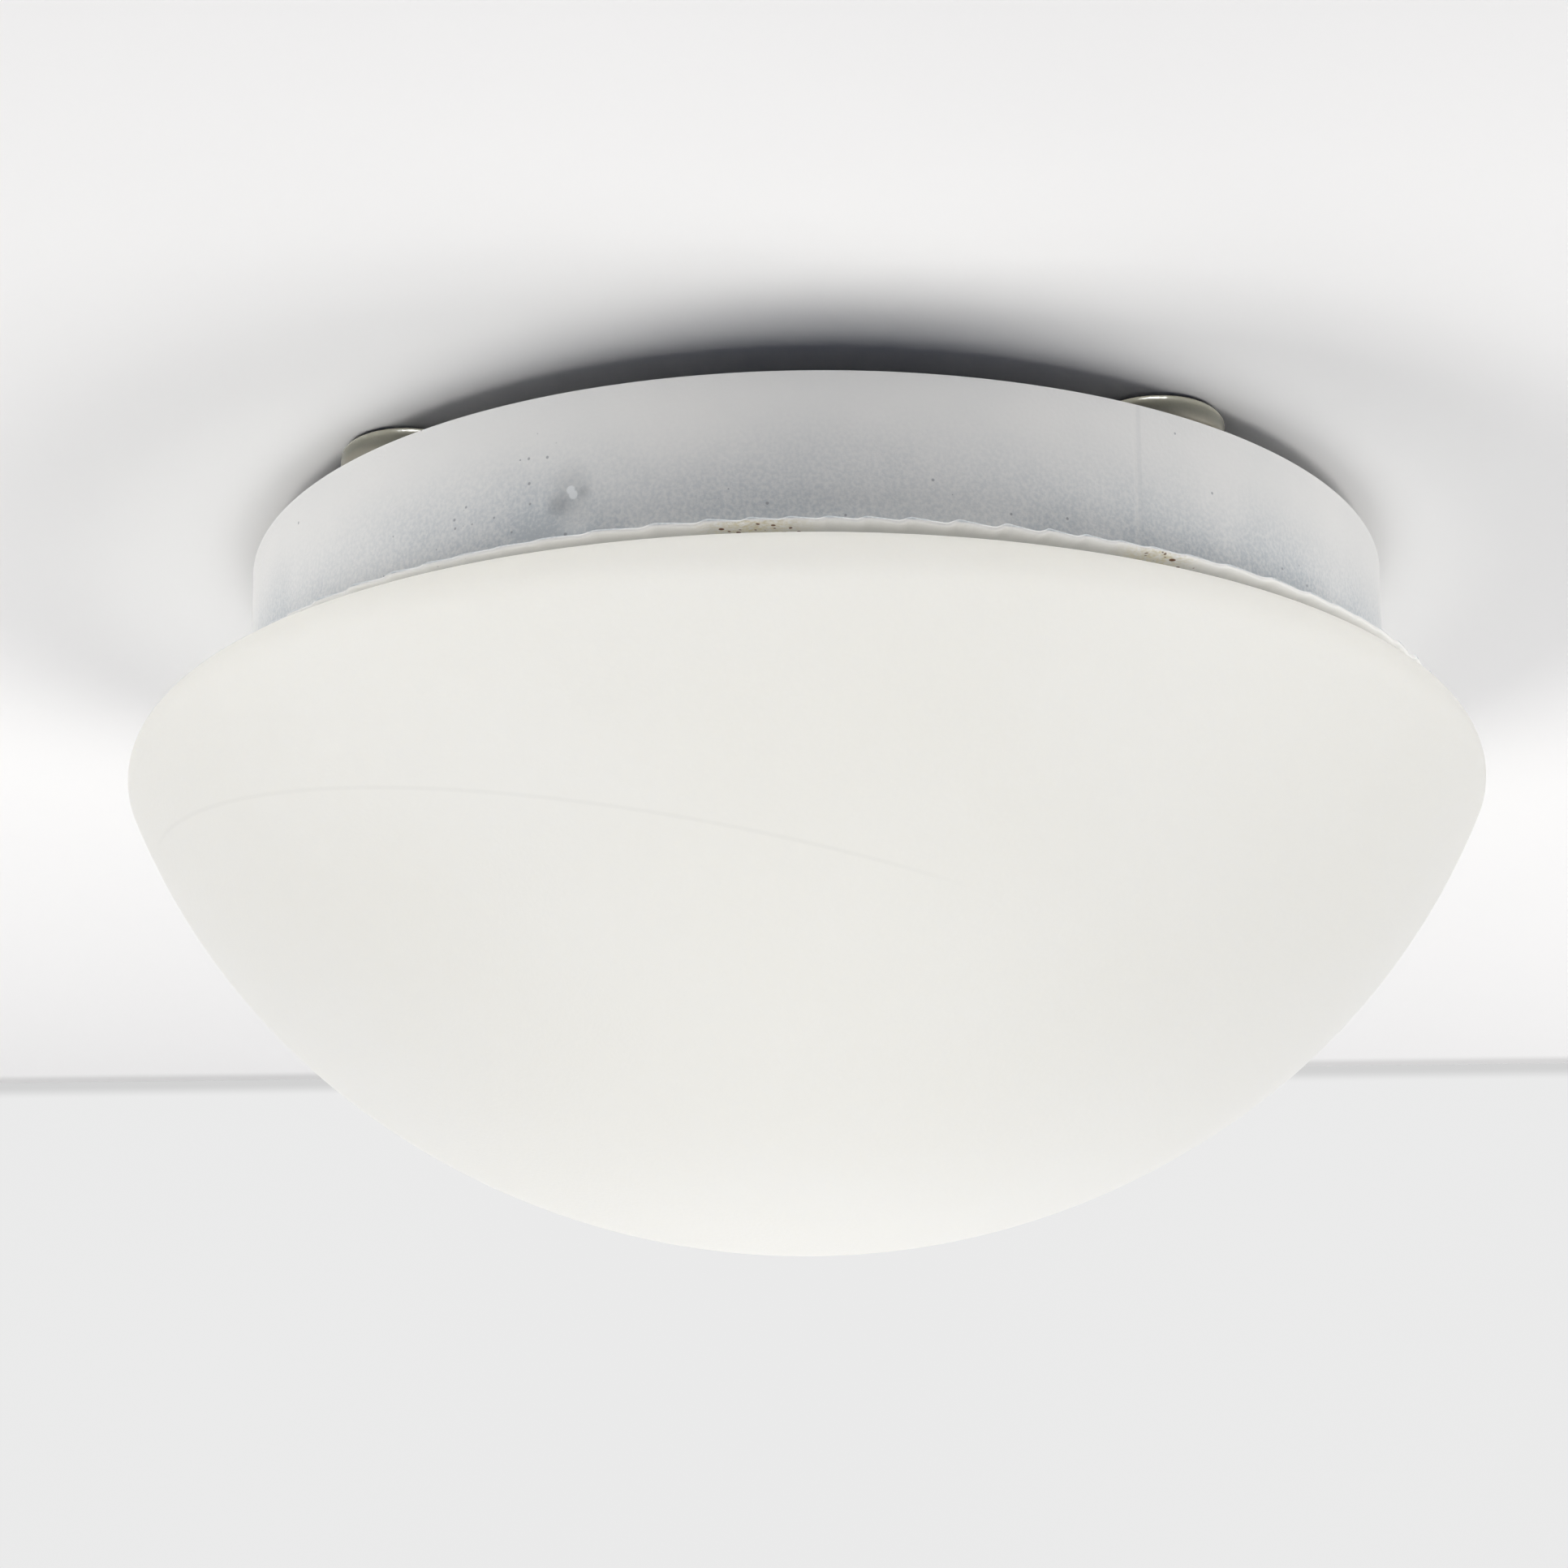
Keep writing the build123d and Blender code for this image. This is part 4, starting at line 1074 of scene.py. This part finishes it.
@dataclass(frozen=True)
class Lamp:
    """A lamp kept to some of the pieces and hidden from the camera and from reflections."""

    name: str
    below: float  # angle below level, in degrees
    turn: float  # angle from the viewer towards +X, in degrees
    power: float
    reach: Reach
    colour: Colour = (1.0, 1.0, 1.0)
    blockers: Reach | None = None  # all that casts its shadows, if named
    away: float = 1.0  # its distance from the light, in metres
    aim: Point = (0.0, 0.0, -0.03)  # the point that it faces

    def data(self) -> bpy.types.Light:
        """Makes the lamp's own data; each kind of lamp has its own."""
        raise NotImplementedError

    def build(self, targets: Targets) -> None:
        """Sets the lamp up.

        Args:
            targets: the pieces that each reach holds.
        """
        data = self.data()
        data.color = self.colour
        data.energy = self.power
        lamp = bpy.data.objects.new(self.name, data)
        bpy.context.scene.collection.objects.link(lamp)
        drop = radians(self.below)
        way = facing(self.turn) * cos(drop) - Vector((0.0, 0.0, sin(drop)))
        lamp.location = way * self.away
        lamp.rotation_euler = (Vector(self.aim) - lamp.location).to_track_quat("-Z", "Y").to_euler()
        lamp.visible_camera = False
        lamp.visible_glossy = False
        if self.blockers is not None:
            data.cycles.max_bounces = 0
        for role, reach in (("receiver", self.reach), ("blocker", self.blockers)):
            if reach is not None:
                linked = bpy.data.collections.new(f"{self.name}_{role}s")
                for piece in targets[reach]:
                    linked.objects.link(piece)
                setattr(lamp.light_linking, f"{role}_collection", linked)
        LOG.info("lamp %s lights %s", self.name, self.reach.value)


@dataclass(frozen=True)
class SoftBox(Lamp):
    """A near square lamp in a warm white for the panel; its power is in watts."""

    reach: Reach = Reach.PANEL
    colour: Colour = (1.015, 1.0, 0.966)
    away: float = 0.9
    size: float = 0.4  # its side, in metres

    def data(self) -> bpy.types.Light:
        """Makes a square lamp.

        Returns:
            The lamp's data.
        """
        made = bpy.data.lights.new(self.name, "AREA")
        made.shape = "SQUARE"
        made.size = self.size
        return made


@dataclass(frozen=True)
class Glow(Lamp):
    """Far soft light, such as a pale wall's; its power is in watts per square metre."""

    spread: float = 25.0  # width of the glow, in degrees

    def data(self) -> bpy.types.Light:
        """Makes a soft sun.

        Returns:
            The lamp's data.
        """
        made = bpy.data.lights.new(self.name, "SUN")
        made.angle = radians(self.spread)
        return made


LAMPS: tuple[Lamp, ...] = (
    SoftBox("panel_below", 70.0, -45.0, 1.4, away=1.4, size=0.6),
    SoftBox("panel_left", 45.0, -90.0, 1.0),
    SoftBox("panel_left_near", 55.0, -75.0, 2.8),
    SoftBox("panel_left_back", 40.0, -105.0, 1.3),
    SoftBox("panel_left_wall", 22.0, -135.0, 1.7, away=1.4, size=0.6),
    SoftBox("panel_right_near", 60.0, 60.0, 1.3),
    SoftBox("panel_right", 55.0, 90.0, 1.7),
    SoftBox("panel_right_back", 45.0, 105.0, 1.6),
    SoftBox("panel_right_low", 22.0, 120.0, 1.2),
    SoftBox("panel_right_wall", 22.0, 165.0, 2.4, away=1.4, size=0.6),
    Glow("left_low", 20.0, -90.0, 0.25, Reach.LIGHT),
    Glow("right_low", 20.0, 90.0, 0.2, Reach.LIGHT),
    Glow("left_side", 35.0, -90.0, 0.6, Reach.PAN),
    Glow("right_side", 35.0, 90.0, 0.7, Reach.PAN),
    Glow("left_near", 35.0, -60.0, 0.8, Reach.PAN),
    Glow("right_near", 35.0, 60.0, 0.7, Reach.PAN),
    Glow("shade_left", 35.0, -90.0, 0.8, Reach.SHADE),
    Glow("shade_right", 35.0, 90.0, 0.75, Reach.SHADE),
    Glow("shade_left_near", 35.0, -60.0, 0.3, Reach.SHADE),
    Glow("shade_right_near", 35.0, 60.0, 0.35, Reach.SHADE),
    Glow("flange_fill", 75.0, 0.0, 0.35, Reach.PAN, spread=40.0),
    Glow("inside_fill", 22.0, 0.0, 1.2, Reach.INSIDE),
    Glow("shade_below", 75.0, 0.0, 1.4, Reach.SHADE, spread=40.0),
    Glow("shade_fill", 20.0, 0.0, 0.4, Reach.SHADE),
    Glow("shade_top", -40.0, 0.0, 0.6, Reach.SHADE, spread=40.0, blockers=Reach.SHADE),
    Glow("through_glass", 78.0, 0.0, 1.1, Reach.DRUM, spread=40.0, blockers=Reach.DRUM),
    Glow("back_fill", 12.0, 180.0, 1.4, Reach.LIGHT, spread=40.0),
    Glow("crown_fill", -90.0, 0.0, 2.0, Reach.CROWN, spread=20.0, blockers=Reach.LIGHT),
    Glow("pad_fill", -90.0, 0.0, 6.5, Reach.PADS, spread=20.0, blockers=Reach.LIGHT),
)


@dataclass
class Studio:
    """The ceiling panel, the wall behind it, the lamps and the room's own light."""

    wall_y: float = 0.3695  # behind the light
    wall_turn: float = -1.714  # about the upright axis, in degrees
    reach: float = 0.6  # half width of the panel, in metres
    drop: float = 0.5  # height of the wall
    panel: Colour = (0.86, 0.86, 0.86)
    wall: Colour = (0.835, 0.835, 0.835)
    cloud: float = 0.98  # darkest share of their tone
    # Reach of the soft painted shade line on the panel and on the wall in the corner where they meet
    seam: Pair = (9.0 * MM, 4.5 * MM)
    seam_core: float = 0.25  # share of that reach
    seam_shade_strength: float = 0.75
    seam_shade_tone: float = 0.7  # share of the sheet's own tone in that painted shade line
    ambient: Colour = (0.027, 0.033, 0.066)  # colour of the room's own light
    mirrored: Colour = (0.6, 0.6, 0.6)  # colour of the room in reflections

    def sheet(self, name: str, corners: list[Point], colour: Colour, upright: bool) -> Piece:
        """Flat stage sheet that shows from its front alone, so that nothing hides the light from behind.

        Args:
            name: the sheet's name.
            corners: its corners, anticlockwise as seen from the front.
            colour: its linear colour.
            upright: whether it is the wall, which the camera sees without shading.

        Returns:
            The sheet.
        """
        made = new_piece(name, corners, [list(range(len(corners)))])
        made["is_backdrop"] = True
        material = bpy.data.materials.new(name)
        material.use_nodes = True
        sketch = Sketch(material.node_tree)
        clouds = sketch.add("ShaderNodeTexNoise", {"Vector": sketch.place, "Scale": 5.0, "Detail": 3.0})
        tone = sketch.blend(clouds.outputs["Fac"], colour, darker(colour, self.cloud))
        across = Vector((tan(radians(-self.wall_turn)), 1.0, 0.0)).normalized()
        to_wall = sketch.math("SUBTRACT", sketch.along(tuple(across)), self.wall_y * across.y)
        gap = sketch.math("ABSOLUTE", sketch.along(UP) if upright else to_wall)
        seam = self.seam[1] if upright else self.seam[0]
        # painted shade in the corner where the panel meets the wall
        line = sketch.times(sketch.ramp(gap, seam, self.seam_core * seam), self.seam_shade_strength)
        tone = sketch.blend(line, tone, darker(colour, self.seam_shade_tone))
        shader = sketch.add("ShaderNodeEmission" if upright else "ShaderNodeBsdfDiffuse", {"Color": tone})
        clear = sketch.add("ShaderNodeBsdfTransparent")
        behind = sketch.add("ShaderNodeNewGeometry").outputs["Backfacing"]
        mix = sketch.add("ShaderNodeMixShader", {0: behind, 1: shader.outputs[0], 2: clear.outputs[0]})
        sketch.add("ShaderNodeOutputMaterial", {"Surface": mix.outputs[0]})
        dress(made, material)
        LOG.info("%s set", name)
        return made

    def build(self, targets: Targets) -> None:
        """Sets the stage, the lamps and the world.

        Args:
            targets: the light's pieces by what a lamp may reach.
        """
        lean = tan(radians(self.wall_turn)) * self.reach
        near, left_y, right_y = -self.reach, self.wall_y - lean, self.wall_y + lean
        wide, low = self.reach, -self.drop
        level = [(-wide, near, 0.0), (-wide, left_y, 0.0), (wide, right_y, 0.0), (wide, near, 0.0)]
        upright = [(-wide, left_y, 0.0), (-wide, left_y, low), (wide, right_y, low), (wide, right_y, 0.0)]
        panel = self.sheet("ceiling_panel", level, self.panel, False)
        wall = self.sheet("back_wall", upright, self.wall, True)
        wall.visible_diffuse = wall.visible_shadow = False
        for lamp in LAMPS:
            lamp.build(targets | {Reach.PANEL: [panel]})
        world = bpy.data.worlds.new("room")
        world.use_nodes = True
        bpy.context.scene.world = world
        sketch = Sketch(world.node_tree)
        path = sketch.add("ShaderNodeLightPath")
        tone = sketch.blend(path.outputs["Is Camera Ray"], self.ambient, self.wall)
        tone = sketch.blend(path.outputs["Is Glossy Ray"], tone, self.mirrored)
        tone = sketch.blend(path.outputs["Is Transmission Ray"], tone, self.mirrored)
        room = sketch.add("ShaderNodeBackground", {"Color": tone})
        sketch.add("ShaderNodeOutputWorld", {"Surface": room.outputs[0]})


@dataclass(frozen=True)
class Viewpoint:
    """The photograph's camera."""

    aim: Point = (0.0, 0.0, -0.055)  # the point that the lens axis passes through, in metres
    distance: float = 0.8351  # to that point
    rise: float = 17.77  # angle of the lens axis above level, in degrees
    roll: float = -0.30  # in degrees
    side_px: int = 1932  # of the photograph
    focal_px: float = 5549.0
    aim_px: Pair = (1007.65, 1043.54)  # where that point lies in the photograph
    sensor_mm: float = 36.0
    clip: Pair = (0.01, 50.0)  # nearest and farthest

    def build(self) -> None:
        """Makes the camera and sets it as the scene's own."""
        rise, roll = radians(self.rise), radians(self.roll)
        forward = Vector((0.0, cos(rise), sin(rise)))
        level_up = Vector((0.0, -sin(rise), cos(rise)))
        right = Vector(RIGHT) * cos(roll) + level_up * sin(roll)
        up = right.cross(forward)
        data = bpy.data.cameras.new("viewpoint")
        data.sensor_width = self.sensor_mm
        data.lens = self.focal_px / self.side_px * self.sensor_mm
        data.shift_x = (self.side_px / 2 - self.aim_px[0]) / self.side_px
        data.shift_y = (self.aim_px[1] - self.side_px / 2) / self.side_px
        data.clip_start, data.clip_end = self.clip
        camera = bpy.data.objects.new("viewpoint", data)
        bpy.context.scene.collection.objects.link(camera)
        turn = Matrix((right, up, -forward)).transposed().to_4x4()
        camera.matrix_world = Matrix.Translation(Vector(self.aim) - forward * self.distance) @ turn
        bpy.context.scene.camera = camera


def main() -> None:
    """Builds the light, dresses it, and sets the stage and the camera."""
    logging.basicConfig(level=logging.INFO, format="%(name)s: %(message)s")
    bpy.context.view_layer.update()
    Studio().build(Light().build())
    Viewpoint().build()
    bpy.context.scene.view_settings.view_transform = "Standard"


if __name__ == "__main__":
    main()
